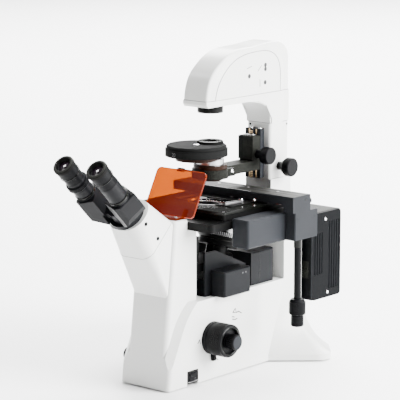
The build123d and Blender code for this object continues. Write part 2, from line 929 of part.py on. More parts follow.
with BuildPart() as x_rail:
    with BuildSketch(Plane.YZ.offset(rail_left)):
        outline(
            (rail_front, plate_top + rail_gap),
            (rail_inner, plate_top + rail_gap),
            (rail_inner, rail_roof),
            (rail_rear, rail_roof),
            (rail_rear, plate_top + 2 * rail_gap),
            (rail_back, plate_top + 2 * rail_gap),
            (rail_back, rail_top),
            (rail_front, rail_top),
        )
    extrude(amount=rail_right - rail_left)
    block((moving_face, rail_right), (rail_front, rail_back), (moving_top, rail_top))
    chamfer(x_rail.edges().filter_by(Axis.X).group_by(Axis.Z)[-1], length=1)
    disc(backward(lock_x, rail_back - 8, lock_z), 2 + run_fit, 10, mode=Mode.SUBTRACT)

x_rail.part.label = "x_rail"
export_step(x_rail.part, "parts/x_rail.step")

with BuildPart() as rail_lock_knob:
    turned(
        backward(lock_x, rail_back, lock_z),
        (0, -7),
        (2, -7),
        (2, slide_gap),
        (5, slide_gap),
        (5, 9),
        (4, 10),
        (0, 10),
    )

rail_lock_knob.part.label = "rail_lock_knob"
export_step(rail_lock_knob.part, "parts/rail_lock_knob.step")

holder_t = 1.1
clip_x = 46.0
clip_y = 50.0

with BuildPart() as specimen_holder:
    with BuildSketch(Plane.XY.offset(plate_top + slide_gap)):
        with Locations((slide_shift, (rail_rear + 2) / 2)):
            Rectangle(2 * slide_half, rail_rear - 2 - slide_gap)
        with Locations((0, optic_y)):
            Rectangle(slide_window, slide_window / 2, mode=Mode.SUBTRACT)
        with Locations((0, 0)):
            Rectangle(slide_half, slide_half / 2, mode=Mode.SUBTRACT)
    extrude(amount=holder_t)
    block(
        (slide_shift - slide_half / 2, slide_shift + slide_half / 2),
        (rail_inner + slide_gap, rail_rear - slide_gap),
        (plate_top + slide_gap, rail_roof - slide_gap),
    )
    disc(upright(clip_x, clip_y, plate_top), 1.5 + run_fit, 3, mode=Mode.SUBTRACT)

specimen_holder.part.label = "specimen_holder"
export_step(specimen_holder.part, "parts/specimen_holder.step")

with BuildPart() as specimen_clip:
    clip_z = plate_top + slide_gap + holder_t + 0.1
    disc(upright(clip_x, clip_y, clip_z - 1.2), 1.5, 3)
    disc(upright(clip_x, clip_y, clip_z), 5, 2)
    with BuildSketch(Plane.XY.offset(clip_z)):
        outline((clip_x - 4, clip_y), (clip_x + 4, clip_y), (clip_x - 2, clip_y - 36), (clip_x - 12, clip_y - 42))
    extrude(amount=1.5)

specimen_clip.part.label = "specimen_clip"
export_step(specimen_clip.part, "parts/specimen_clip.step")

y_tube_top = moving_low - slide_gap

with BuildPart() as y_knob:
    turned(
        upright(drive_x, drive_y, y_knob_low),
        (drive_core_r + run_fit, 0),
        (y_knob_r - 1, 0),
        (y_knob_r, 1),
        (y_knob_r, y_knob_h - 4),
        (y_knob_r - 3, y_knob_h),
        (drive_r, y_knob_h),
        (drive_r, y_tube_top - y_knob_low),
        (drive_core_r + run_fit, y_tube_top - y_knob_low),
    )

y_knob.part.label = "y_knob"
export_step(y_knob.part, "parts/y_knob.step")

with BuildPart() as x_knob:
    turned(
        upright(drive_x, drive_y, x_knob_low),
        (0, 0),
        (x_knob_r - 1, 0),
        (x_knob_r, 1),
        (x_knob_r, x_knob_h - 1),
        (x_knob_r - 1, x_knob_h),
        (drive_core_r, x_knob_h),
        (drive_core_r, moving_low + 12 - x_knob_low),
        (0, moving_low + 12 - x_knob_low),
    )

x_knob.part.label = "x_knob"
export_step(x_knob.part, "parts/x_knob.step")

# Fluorescence unit
bar_half = 19.0
bar_low = shelf_z + 6.0
bar_high = filter_top - 5.0

with BuildPart() as filter_housing:
    block((-filter_half, filter_half), (filter_front, filter_back), (shelf_z, filter_top))
    block(
        (-filter_half - 1, filter_half + 1),
        (optic_y - bar_half - slide_gap, optic_y + bar_half + slide_gap),
        (bar_low - slide_gap, bar_high + slide_gap),
        mode=Mode.SUBTRACT,
    )
    disc(upright(0, optic_y, bar_high - 1), 13, 10, mode=Mode.SUBTRACT)

filter_housing.part.label = "filter_housing"
export_step(filter_housing.part, "parts/filter_housing.step")

with BuildPart() as filter_panel:
    with BuildSketch(Plane.YZ.offset(filter_half)):
        outline(
            (filter_front, shelf_z),
            (filter_front, panel_top),
            (filter_front + 27, panel_top),
            (filter_back, filter_top + 10),
            (filter_back, shelf_z),
        )
    extrude(amount=panel_t)
    block(
        (filter_half - 1, filter_half + panel_t + 1),
        (optic_y - bar_half - slide_gap, optic_y + bar_half + slide_gap),
        (bar_low - slide_gap, bar_high + slide_gap),
        mode=Mode.SUBTRACT,
    )

filter_panel.part.label = "filter_panel"
export_step(filter_panel.part, "parts/filter_panel.step")

with BuildPart() as filter_slider:
    block(
        (filter_half + panel_t + slide_gap + 2.7, slider_face),
        (slider_front, slider_back),
        (shelf_z + slide_gap, slider_top),
    )
    chamfer(filter_slider.edges().group_by(Axis.X)[-1], length=1.5)
    block(
        (-filter_half - 22, slider_face - 5),
        (optic_y - bar_half, optic_y + bar_half),
        (bar_low, bar_high),
    )
    with Locations((0, optic_y, bar_low - 1), (-40, optic_y, bar_low - 1)):
        Cylinder(11, 40, align=(Align.CENTER, Align.CENTER, Align.MIN), mode=Mode.SUBTRACT)

filter_slider.part.label = "filter_slider"
export_step(filter_slider.part, "parts/filter_slider.step")

with BuildPart() as epi_housing:
    block((10 - epi_half, epi_half), (epi_front, epi_back), (shelf_z, epi_top))
    fillet(epi_housing.edges().filter_by(Axis.Z).group_by(Axis.Y)[-1], radius=14)
    fillet(epi_housing.edges().group_by(Axis.Z)[-1], radius=2)
    block((-20, 20), (filter_back, epi_front + 1), (shelf_z + 3, filter_top - 2))

epi_housing.part.label = "epi_housing"
export_step(epi_housing.part, "parts/epi_housing.step")

with BuildPart() as epi_tube:
    turned(
        backward(0, epi_back, epi_axis_z),
        (epi_tube_r - 5, 0),
        (epi_tube_r, 0),
        (epi_tube_r, lamp_front - epi_back),
        (epi_tube_r - 5, lamp_front - epi_back),
    )

epi_tube.part.label = "epi_tube"
export_step(epi_tube.part, "parts/epi_tube.step")

window_front = lamp_front + 5
window_back = lamp_back - 5

with BuildPart() as lamp_shell:
    block((lamp_wall - lamp_half, lamp_half - lamp_wall), (lamp_front, lamp_back), (lamp_low, lamp_top - lamp_wall))
    fillet(lamp_shell.edges().filter_by(Axis.X), radius=3)
    block(
        (2 * lamp_wall - lamp_half, lamp_half - 2 * lamp_wall),
        (lamp_front + lamp_wall, lamp_back - lamp_wall),
        (lamp_low + lamp_wall, lamp_top + 1),
        mode=Mode.SUBTRACT,
    )
    block((-lamp_half, lamp_half), (window_front, window_back), (lamp_low + 8, lamp_top - 12), mode=Mode.SUBTRACT)
    disc(backward(0, lamp_front - 1, epi_axis_z), epi_tube_r - 5, 8, mode=Mode.SUBTRACT)

lamp_shell.part.label = "lamp_shell"
export_step(lamp_shell.part, "parts/lamp_shell.step")

lamp_mid = (lamp_front + lamp_back) / 2
lamp_tall = lamp_top - lamp_low
slat_pitch = (lamp_back - lamp_front) / 12
slat_slot = 0.55 * slat_pitch

with BuildPart() as lamp_louvres:
    for low_x in (-lamp_half, lamp_half - lamp_wall):
        block((low_x, low_x + lamp_wall), (lamp_front, lamp_back), (lamp_low, lamp_top))
    fillet(lamp_louvres.edges().filter_by(Axis.X), radius=2 * lamp_wall)
    with BuildSketch(Plane.YZ.offset(-lamp_half)):
        with Locations((lamp_front + 2.4 * slat_pitch, lamp_low + 0.53 * lamp_tall)):
            with GridLocations(slat_pitch, 1, 4, 1):
                Rectangle(slat_slot, 0.48 * lamp_tall)
        with Locations((lamp_back - 3 * slat_pitch, lamp_low + 0.49 * lamp_tall)):
            with GridLocations(slat_pitch, 1, 5, 1):
                Rectangle(slat_slot, 0.79 * lamp_tall)
    extrude(amount=2 * lamp_half, mode=Mode.SUBTRACT)

lamp_louvres.part.label = "lamp_louvres"
export_step(lamp_louvres.part, "parts/lamp_louvres.step")

with BuildPart() as lamp_grille:
    block(
        (lamp_wall - lamp_half, lamp_half - lamp_wall),
        (lamp_front, lamp_back),
        (lamp_top - lamp_wall, lamp_top),
    )
    with BuildSketch(Plane.XY.offset(lamp_top)):
        with Locations((0, lamp_mid)):
            with GridLocations(lamp_half / 7, 1, 12, 1):
                Rectangle(lamp_half / 14, 0.75 * (lamp_back - lamp_front))
    extrude(amount=-lamp_wall, mode=Mode.SUBTRACT)

lamp_grille.part.label = "lamp_grille"
export_step(lamp_grille.part, "parts/lamp_grille.step")

with BuildPart() as lamp_bulb:
    turned(
        upright(0, lamp_mid, lamp_low + lamp_wall),
        (0, 0),
        (22, 0),
        (22, 12),
        (12, 14),
        (12, 46),
        (7, 50),
        (9, 62),
        (9, 74),
        (6, 82),
        (6, 96),
        (0, 96),
    )

lamp_bulb.part.label = "lamp_bulb"
export_step(lamp_bulb.part, "parts/lamp_bulb.step")

# Column and lamp head

with BuildPart() as hinge_pin:
    disc(sideways(-spine_half, hinge_y, hinge_z), pin_r, 2 * spine_half)

hinge_pin.part.label = "hinge_pin"
export_step(hinge_pin.part, "parts/hinge_pin.step")

column_low = hinge_z + slide_gap

with BuildPart() as column:
    with BuildSketch(Plane.XY.offset(column_low)):
        with Locations((0, (column_front + hinge_y) / 2)):
            RectangleRounded(2 * column_half, hinge_y - column_front, 5)
    extrude(amount=column_top - column_low)
    for low_x in (-column_half - 1, knuckle_half):
        block(
            (low_x, low_x + column_half + 1 - knuckle_half),
            (hinge_y - hinge_r - 0.5, hinge_y + 1),
            (column_low - 1, hinge_z + hinge_r + 0.5),
            mode=Mode.SUBTRACT,
        )
    disc(sideways(-knuckle_half, hinge_y, hinge_z), hinge_r, 2 * knuckle_half)
    disc(sideways(-knuckle_half, hinge_y, hinge_z), pin_r + run_fit, 2 * knuckle_half, mode=Mode.SUBTRACT)
    disc(sideways(column_half - 10, clamp_y, clamp_z), pin_r + run_fit, 11, mode=Mode.SUBTRACT)

column.part.label = "column"
export_step(column.part, "parts/column.step")

with BuildPart() as clamp_knob:
    turned(
        sideways(column_half, clamp_y, clamp_z),
        (0, -9),
        (pin_r, -9),
        (pin_r, slide_gap),
        (7, slide_gap),
        (7, 6),
        (clamp_r, 18),
        (clamp_r, clamp_face - column_half - 1.5),
        (clamp_r - 1.5, clamp_face - column_half),
        (0, clamp_face - column_half),
    )

clamp_knob.part.label = "clamp_knob"
export_step(clamp_knob.part, "parts/clamp_knob.step")

# Outline of the head, from the front seam over the top to the back, as shares of its length and height
head_crown = [(0.009, 0.175), (0.051, 0.463), (0.148, 0.713), (0.259, 0.888), (0.38, 0.97), (0.593, 1.0), (0.968, 0.893)]
panel_crown = [(0.111, 0.2), (0.202, 0.544), (0.31, 0.746), (0.458, 0.863), (0.593, 0.889), (0.704, 0.881), (0.77, 0.836)]
panel_crown += [(0.847, 0.675), (0.875, 0.463)]
slope_crown = [(0.06, 0.235), (0.155, 0.6), (0.26, 0.815), (0.42, 0.945), (0.593, 0.965), (0.7, 0.955), (0.8, 0.91)]
slope_crown += [(0.895, 0.75), (0.93, 0.463)]


def crown_side(x, front, back, crown, back_top):
    """Sketch of the upper head's side outline across X."""
    along = hinge_y - head_front
    tall = head_top - head_seam
    curve = [(head_front + a * along, head_seam + b * tall) for a, b in crown]
    with BuildSketch(Plane.YZ.offset(x)) as side:
        with BuildLine():
            Polyline((front, head_seam), (back, head_seam), (back, head_seam + back_top * tall))
            Spline((back, head_seam + back_top * tall), *reversed(curve), (front, head_seam))
        make_face()
    return side.sketch


def neck_side(x, front, back):
    """Sketch of the raised panel below the seam, across X."""
    under = head_under + 1
    with BuildSketch(Plane.YZ.offset(x)) as side:
        Polygon(
            (front, head_seam),
            (front, under),
            (column_front - 84, under),
            (column_front - 36, under - 2),
            (column_front - 13, under - 11),
            (column_front + 2, column_top + 8),
            (column_front + 2, column_top),
            (back, column_top),
            (back, head_seam),
            align=None,
        )
    return side.sketch


panel_steps = [(0, 8.0, 14.0), (head_panel_rise, 20.0, 26.0)]

with BuildPart() as head_lower:
    with BuildSketch(Plane.YZ.offset(-column_half)):
        with BuildLine():
            Polyline(
                (column_front - 1, column_top + 6),
                (column_front, column_top),
                (hinge_y, column_top),
                (hinge_y, head_seam),
                (head_front, head_seam),
                (head_front, head_seam - 6),
                (head_front + 4, head_under),
                (column_front - 84, head_under),
            )
            Spline(
                (column_front - 84, head_under),
                (column_front - 41.4, head_under - 2.4),
                (column_front - 14, head_under - 11.4),
                (column_front - 1, column_top + 6),
                tangents=[(1, 0), (0, -1)],
            )
        make_face()
    extrude(amount=2 * column_half)
    for side in (-1, 1):
        loft([neck_side(side * (column_half + out), head_front + a, hinge_y - b) for out, a, b in panel_steps], ruled=True)

head_lower.part.label = "head_lower"
export_step(head_lower.part, "parts/head_lower.step")

with BuildPart() as head_upper:
    extrude(crown_side(-column_half, head_front, hinge_y, head_crown, 0.7), amount=2 * column_half)
    fillet(
        head_upper.edges().filter_by(
            lambda e: abs(abs(e.center().X) - column_half) < 0.1 and e.center().Z > head_seam + 1 and e.length > 50
        ),
        radius=head_edge_r,
    )
    for side in (-1, 1):
        low, high = (side * (column_half + out) for out, a, b in panel_steps)
        loft(
            [
                crown_side(low, head_front + 8, hinge_y - 14, slope_crown, 0.2),
                crown_side(high, head_front + 20, hinge_y - 26, panel_crown, 0.2),
            ],
            ruled=True,
        )

head_upper.part.label = "head_upper"
export_step(head_upper.part, "parts/head_upper.step")

with BuildPart() as collector:
    turned(
        upright(0, optic_y, collector_low),
        (0, 4),
        (collector_r - 3, 4),
        (collector_r - 3, 0),
        (collector_r, 0),
        (collector_r, head_under - collector_low),
        (0, head_under - collector_low),
    )

collector.part.label = "collector"
export_step(collector.part, "parts/collector.step")

# Condenser

with BuildPart() as condenser_rail:
    with BuildSketch(Plane.XY.offset(rail_low)):
        outline(
            (-rail_half, rail_face),
            (rail_half, rail_face),
            (rail_half - 4, column_front),
            (4 - rail_half, column_front),
        )
    extrude(amount=rail_high - rail_low)
    block((-rack_half, rack_half), (rail_face - rack_t, rail_face), (rail_low, rail_high))
    for step in range(int((rail_high - rail_low) / rack_pitch)):
        level = rail_low + (step + 0.25) * rack_pitch
        block((-rack_half, rack_half), (rail_face - rack_t, rail_face - rack_t + 1), (level, level + rack_pitch / 2), mode=Mode.SUBTRACT)

condenser_rail.part.label = "condenser_rail"
export_step(condenser_rail.part, "parts/condenser_rail.step")

carriage_back = rail_face - slide_gap

with BuildPart() as condenser_carriage:
    block((-arm_half - 0.5, arm_half + 0.5), (box_front, carriage_back), (box_low, box_high))
    chamfer(condenser_carriage.edges().group_by(Axis.Z)[-1], length=1.5)
    block((-arm_half, arm_half), (optic_y + barrel_r + 1, carriage_back), (arm_low, arm_high))
    block((-arm_half, arm_half), (box_front + 3, carriage_back), (arm_high - 1, box_low + 1))
    disc(upright(0, optic_y, arm_low), ring_r, arm_high - 1 - arm_low)
    # Clamp lug of the holder ring and its centring screw
    block((arm_half - 1, arm_half + 9), (optic_y + 19, optic_y + 35), (arm_low + 1, arm_high - 2))
    disc(Plane(origin=(1 - ring_r, optic_y, screw_z), z_dir=(-1, 0, 0)), 1.8, screw_end - ring_r)
    disc(Plane(origin=(13 - screw_end, optic_y, screw_z), z_dir=(-1, 0, 0)), 3.2, 13)
    disc(upright(0, optic_y, arm_low - 1), lens_r, arm_high - arm_low + 1, mode=Mode.SUBTRACT)
    disc(sideways(0, condenser_knob_y, condenser_knob_z), pin_r + run_fit, arm_half + 1, mode=Mode.SUBTRACT)
    block(
        (-rack_half - 1, rack_half + 1),
        (rail_face - rack_t - 1, rail_face),
        (arm_low - 1, box_high + 1),
        mode=Mode.SUBTRACT,
    )

condenser_carriage.part.label = "condenser_carriage"
export_step(condenser_carriage.part, "parts/condenser_carriage.step")

with BuildPart() as condenser_knob:
    turned(
        sideways(arm_half + 0.5, condenser_knob_y, condenser_knob_z),
        (0, -12),
        (pin_r, -12),
        (pin_r, slide_gap),
        (7, slide_gap),
        (7, 14),
        (condenser_knob_r, 15),
        (condenser_knob_r, condenser_knob_face - arm_half - 1.5),
        (condenser_knob_r - 1, condenser_knob_face - arm_half - 0.5),
        (0, condenser_knob_face - arm_half - 0.5),
    )

condenser_knob.part.label = "condenser_knob"
export_step(condenser_knob.part, "parts/condenser_knob.step")

light_r = 11.0
turret_pin_r = 4.0
turret_top = turret_low + turret_h
cover_low = turret_top + slide_gap
cover_top = cover_low + cover_h

with BuildPart() as condenser_body:
    turned(
        upright(0, optic_y, arm_low - 4),
        (0, 0),
        (lens_r - 4, 0),
        (lens_r - seat_gap, 4),
        (lens_r - seat_gap, arm_high - 1 - arm_low + 4),
        (barrel_r, arm_high - 1 - arm_low + 4),
        (barrel_r, barrel_high - arm_low + 4),
        (silver_r - 4, barrel_high - arm_low + 4),
        (silver_r - 4, silver_high - arm_low + 4),
        (0, silver_high - arm_low + 4),
    )
    disc(upright(turret_x, turret_y, silver_high), turret_plate_r, turret_low - slide_gap - silver_high)
    disc(upright(turret_x, turret_y, turret_low - 1), turret_pin_r, cover_low + 1 - turret_low + 1)
    disc(upright(0, optic_y, arm_low), light_r, 60, mode=Mode.SUBTRACT)

condenser_body.part.label = "condenser_body"
export_step(condenser_body.part, "parts/condenser_body.step")

with BuildPart() as aperture_ring:
    turned(
        upright(0, optic_y, barrel_high + slide_gap),
        (silver_r - 4 + run_fit, 0),
        (silver_r, 0),
        (silver_r, silver_high - barrel_high - 2 * slide_gap),
        (silver_r - 4 + run_fit, silver_high - barrel_high - 2 * slide_gap),
    )
    lever_z = (barrel_high + silver_high) / 2
    disc(Plane(origin=(1 - silver_r, optic_y, lever_z), z_dir=(-1, 0, 0)), 1.6, 8)
    disc(Plane(origin=(-silver_r - 6, optic_y, lever_z), z_dir=(-1, 0, 0)), 2.6, 6)

aperture_ring.part.label = "aperture_ring"
export_step(aperture_ring.part, "parts/aperture_ring.step")

with BuildPart() as phase_turret:
    disc(upright(turret_x, turret_y, turret_low), turret_r, turret_h)
    chamfer(phase_turret.edges().group_by(Axis.Z)[0], length=1)
    disc(upright(turret_x, turret_y, turret_low - 1), turret_pin_r + run_fit, turret_h + 2, mode=Mode.SUBTRACT)
    with BuildSketch(Plane(origin=(turret_x, turret_y, turret_low), x_dir=(-turret_x, optic_y - turret_y, 0), z_dir=(0, 0, 1))):
        with PolarLocations(hypot(turret_x, optic_y - turret_y), 5):
            Circle(light_r)
    extrude(amount=turret_h, mode=Mode.SUBTRACT)

phase_turret.part.label = "phase_turret"
export_step(phase_turret.part, "parts/phase_turret.step")

with BuildPart() as turret_cover:
    disc(upright(turret_x, turret_y, cover_low), turret_r - 2, cover_h)
    chamfer(turret_cover.edges().group_by(Axis.Z)[-1], length=1.5)
    disc(upright(turret_x, turret_y, cover_low - 1), turret_pin_r, 3, mode=Mode.SUBTRACT)
    turned(
        upright(0, optic_y, cover_top),
        (light_r, -1),
        (collar_r, -1),
        (collar_r, collar_h - 1),
        (collar_r - 1, collar_h),
        (light_r, collar_h),
    )
    disc(upright(0, optic_y, cover_low - 1), light_r, cover_h + 2, mode=Mode.SUBTRACT)

turret_cover.part.label = "turret_cover"
export_step(turret_cover.part, "parts/turret_cover.step")
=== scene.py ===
import bmesh
import bpy
from math import atan2, cos, pi, radians, sin
from mathutils import Matrix, Vector
from mathutils.bvhtree import BVHTree


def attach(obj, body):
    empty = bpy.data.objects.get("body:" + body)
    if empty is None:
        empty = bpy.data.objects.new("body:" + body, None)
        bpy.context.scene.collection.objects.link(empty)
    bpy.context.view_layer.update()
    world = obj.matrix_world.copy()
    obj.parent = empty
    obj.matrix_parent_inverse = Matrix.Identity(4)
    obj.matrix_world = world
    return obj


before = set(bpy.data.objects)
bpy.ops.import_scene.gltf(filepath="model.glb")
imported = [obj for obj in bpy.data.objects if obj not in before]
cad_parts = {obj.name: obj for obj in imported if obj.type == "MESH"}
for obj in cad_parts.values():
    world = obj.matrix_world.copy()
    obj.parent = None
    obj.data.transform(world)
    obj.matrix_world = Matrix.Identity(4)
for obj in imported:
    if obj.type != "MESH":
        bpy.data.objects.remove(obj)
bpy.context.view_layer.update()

# Metres in a millimetre
MM = 0.001
# Distances in metres at which a shell's corners are one, a tree's points are one, a corner is on a plane
SAME_CORNER = 1e-7
SAME_POINT = 1e-6
ON_PLANE = 1e-5
# A screw's hexagon socket as a share of its head's radius, and its cutter's rise as a share of the height
SOCKET_SHARE = 0.55
SOCKET_RISE = 0.6


def mm(*values):
    """Point given in millimetres, in metres."""
    return Vector([v * MM for v in values])


# Shader expressions


class Number:
    """A number socket in a material; Python's operators on it add Math nodes."""

    def __init__(self, finish, socket):
        self.finish = finish
        self.socket = socket

    def combine(self, operation, other):
        return self.finish.number("ShaderNodeMath", {"operation": operation}, {0: self, 1: other})

    def __add__(self, other):
        return self.combine("ADD", other)

    def __radd__(self, other):
        return self.combine("ADD", other)

    def __mul__(self, other):
        return self.combine("MULTIPLY", other)


class Finish:
    """A procedural material and the nodes that make it."""

    def __init__(self, name, **surface):
        self.material = bpy.data.materials.new(name)
        self.material.use_nodes = True
        self.tree = self.material.node_tree
        self.shader = self.tree.nodes["Principled BSDF"]
        self.place = self.node("ShaderNodeTexCoord").outputs["Object"]
        for socket, value in surface.items():
            self.set(socket.replace("_", " ").title().replace("Ior", "IOR"), value)

    def node(self, kind, settings=None, inputs=None):
        """Node of any kind: its settings come first, then the values or links of its sockets."""
        made = self.tree.nodes.new(kind)
        for key, value in (settings or {}).items():
            setattr(made, key, value)
        for key, value in (inputs or {}).items():
            self.feed(made.inputs[key], value)
        return made

    def number(self, kind, settings=None, inputs=None, output=0):
        return Number(self, self.node(kind, settings, inputs).outputs[output])

    def feed(self, socket, value):
        if isinstance(value, Number):
            value = value.socket
        if isinstance(value, bpy.types.NodeSocket):
            self.tree.links.new(value, socket)
        else:
            socket.default_value = (*value, 1.0) if socket.type == "RGBA" else value

    def set(self, name, value):
        self.feed(self.shader.inputs[name], value)

    def noise(self, scale, detail=2.0, at=None):
        """Noise of so many cells to the metre."""
        inputs = {"Vector": at or self.place, "Scale": scale, "Detail": detail}
        return self.number("ShaderNodeTexNoise", None, inputs, "Fac")

    def stretched(self, factors):
        """Object coordinates scaled by a factor along each axis."""
        return self.node("ShaderNodeMapping", None, {"Vector": self.place, "Scale": factors}).outputs[0]

    def cells(self, scale):
        """Distance from the nearest of so many points to the metre."""
        inputs = {"Vector": self.place, "Scale": scale}
        return self.number("ShaderNodeTexVoronoi", None, inputs, "Distance")

    def between(self, factor, first, second):
        """Colour mixed from two by a factor."""
        inputs = {0: factor, 6: first, 7: second}
        return self.node("ShaderNodeMix", {"data_type": "RGBA"}, inputs).outputs[2]

    def relief(self, height, strength, distance=0.0001):
        """Bump from a height."""
        inputs = {"Strength": strength, "Distance": distance, "Height": height}
        self.set("Normal", self.node("ShaderNodeBump", None, inputs).outputs["Normal"])


def grey(tone, tint=(1.0, 1.0, 1.0)):
    return tuple(tone * t for t in tint)


def enamel():
    """Glossy warm-white stove enamel with a faint orange peel."""
    finish = Finish(
        "white_enamel", coat_weight=0.12, coat_roughness=0.08, ior=1.48, specular_ior_level=0.35
    )
    cloud = finish.noise(9.0, 3.0)
    finish.set("Base Color", finish.between(cloud, (0.62, 0.625, 0.605), (0.67, 0.675, 0.66)))
    finish.set("Roughness", 0.26 + finish.noise(60.0, 2.0) * 0.12)
    finish.relief(finish.noise(420.0, 2.0) + finish.noise(60.0) * 0.6, 0.08)
    return finish.material


def satin_black(name, tone, rough, grain, depth, gloss, tint=(1.0, 1.04, 1.22)):
    """Moulded black plastic with a fine spark-eroded grain."""
    finish = Finish(name, ior=1.5, specular_ior_level=gloss)
    patch = finish.noise(35.0, 3.0)
    finish.set("Base Color", finish.between(patch, grey(tone * 0.8, tint), grey(tone * 1.3, tint)))
    finish.set("Roughness", rough + finish.noise(180.0, 3.0) * 0.12)
    finish.relief(finish.noise(grain, 2.0), depth)
    return finish.material


def anodised(name, tone, rough, tint, metallic=0.03, gloss=0.06):
    """Bead-blasted and anodised aluminium, nearly black with a cool sheen."""
    finish = Finish(name, ior=1.5, specular_ior_level=gloss)
    patch = finish.noise(22.0, 3.0)
    finish.set("Base Color", finish.between(patch, grey(tone * 0.85, tint), grey(tone * 1.2, tint)))
    finish.set("Metallic", metallic + patch * 0.03)
    finish.set("Roughness", rough + finish.noise(900.0, 2.0) * 0.12)
    finish.relief(finish.noise(3800.0, 2.0), 0.14)
    return finish.material


def crinkle():
    """Black wrinkle paint, with paler crests."""
    finish = Finish("crinkle_black", ior=1.5, specular_ior_level=0.05)
    folds = finish.cells(620.0)
    speckle = finish.noise(520.0, 4.0)
    color = finish.between(folds * speckle, (0.0008, 0.0009, 0.0009), (0.030, 0.032, 0.026))
    finish.set("Base Color", color)
    finish.set("Roughness", 0.42 + speckle * 0.25)
    finish.relief(folds + speckle * 0.5, 0.6, 0.0003)
    return finish.material


def sheet_paint():
    """Fine-textured black paint on folded sheet steel."""
    finish = Finish("sheet_black", ior=1.5, specular_ior_level=0.03)
    speckle = finish.noise(1500.0, 3.0)
    finish.set("Base Color", finish.between(speckle, (0.0006, 0.0008, 0.001), (0.0018, 0.0022, 0.003)))
    finish.set("Roughness", 0.36 + speckle * 0.14)
    finish.relief(speckle, 0.25, 0.0002)
    return finish.material


def gloss_black():
    """Hard black gloss coat with faint wipe marks."""
    finish = Finish("gloss_black", ior=1.5, specular_ior_level=0.16)
    wipe = finish.noise(140.0, 4.0, at=finish.stretched((1.0, 6.0, 1.0)))
    finish.set("Base Color", finish.between(wipe, (0.0016, 0.0019, 0.0015), (0.004, 0.0045, 0.0036)))
    finish.set("Roughness", 0.14 + wipe * 0.12)
    finish.relief(finish.noise(300.0), 0.03)
    return finish.material


def bright_metal(name, tone, rough, along=(1.0, 1.0, 1.0), tint=(1.0, 1.0, 1.01)):
    """Turned or brushed metal; its fine marks run along an axis with a small factor."""
    finish = Finish(name, metallic=1.0)
    lines = finish.noise(1500.0, 3.0, at=finish.stretched(along))
    finish.set("Base Color", finish.between(lines, grey(tone * 0.85, tint), grey(tone, tint)))
    finish.set("Roughness", rough + lines * 0.12)
    finish.relief(lines, 0.05)
    return finish.material


def orange_acrylic(name, glow, deep, light):
    """Orange filter plastic with a painted glow: emission between two colours stands in for the light that it
    scatters.
    """
    finish = Finish(name, transmission_weight=0.94, ior=1.2)
    cloud = finish.noise(12.0, 2.0)
    finish.set("Base Color", finish.between(cloud, (0.178, 0.031, 0.0001), (0.195, 0.035, 0.0002)))
    finish.set("Roughness", 0.04 + finish.noise(90.0, 3.0) * 0.05)
    finish.relief(finish.noise(14.0), 0.04)
    finish.set("Emission Color", finish.between(cloud, deep, light))
    finish.set("Emission Strength", glow)
    return finish.material


def rubber():
    """Dull black rubber."""
    finish = Finish("soft_rubber", ior=1.45, specular_ior_level=0.08)
    dust = finish.noise(90.0, 4.0)
    finish.set("Base Color", finish.between(dust, (0.002, 0.002, 0.002), (0.005, 0.0048, 0.0045)))
    finish.set("Roughness", 0.62 + dust * 0.2)
    finish.relief(finish.noise(1400.0, 3.0), 0.35)
    return finish.material


def coated_glass():
    """Lens with a purple anti-reflection coating over a dark tube; the paler purple at grazing angles is a
    painted reflection of the coating.
    """
    finish = Finish("coated_glass", ior=1.6, coat_weight=0.9, coat_roughness=0.02)
    facing = finish.number("ShaderNodeLayerWeight", None, {"Blend": 0.4}, "Facing")
    finish.set("Base Color", finish.between(facing, (0.006, 0.003, 0.006), (0.045, 0.024, 0.045)))
    finish.set("Roughness", 0.04 + finish.noise(60.0) * 0.05)
    return finish.material


def clear_glass():
    """Plain optical glass."""
    finish = Finish("clear_glass", transmission_weight=0.9, ior=1.5)
    haze = finish.noise(70.0, 3.0)
    finish.set("Base Color", finish.between(haze, (0.92, 0.95, 0.96), (0.98, 0.99, 1.0)))
    finish.set("Roughness", 0.02 + haze * 0.03)
    return finish.material


def ink(name, color):
    """Flat colour of slightly uneven density, for printed marks and seams and for painted shade."""
    finish = Finish(name, ior=1.45)
    patch = finish.noise(900.0, 3.0)
    finish.set("Base Color", finish.between(patch, grey(0.85, color), color))
    finish.set("Roughness", 0.5 + patch * 0.15)
    return finish.material


# Tints of metals, and the colours of the filter's painted glow on its faces and on its cut edges
cool = (0.92, 1.0, 1.16)
warm_brown = (2.4, 1.0, 0.55)
brass_tint = (1.0, 0.72, 0.42)
deep_red, light_red = (1.0, 0.045, 0.02), (1.0, 0.07, 0.03)
deep_pink, light_pink = (1.0, 0.34, 0.30), (1.0, 0.40, 0.36)

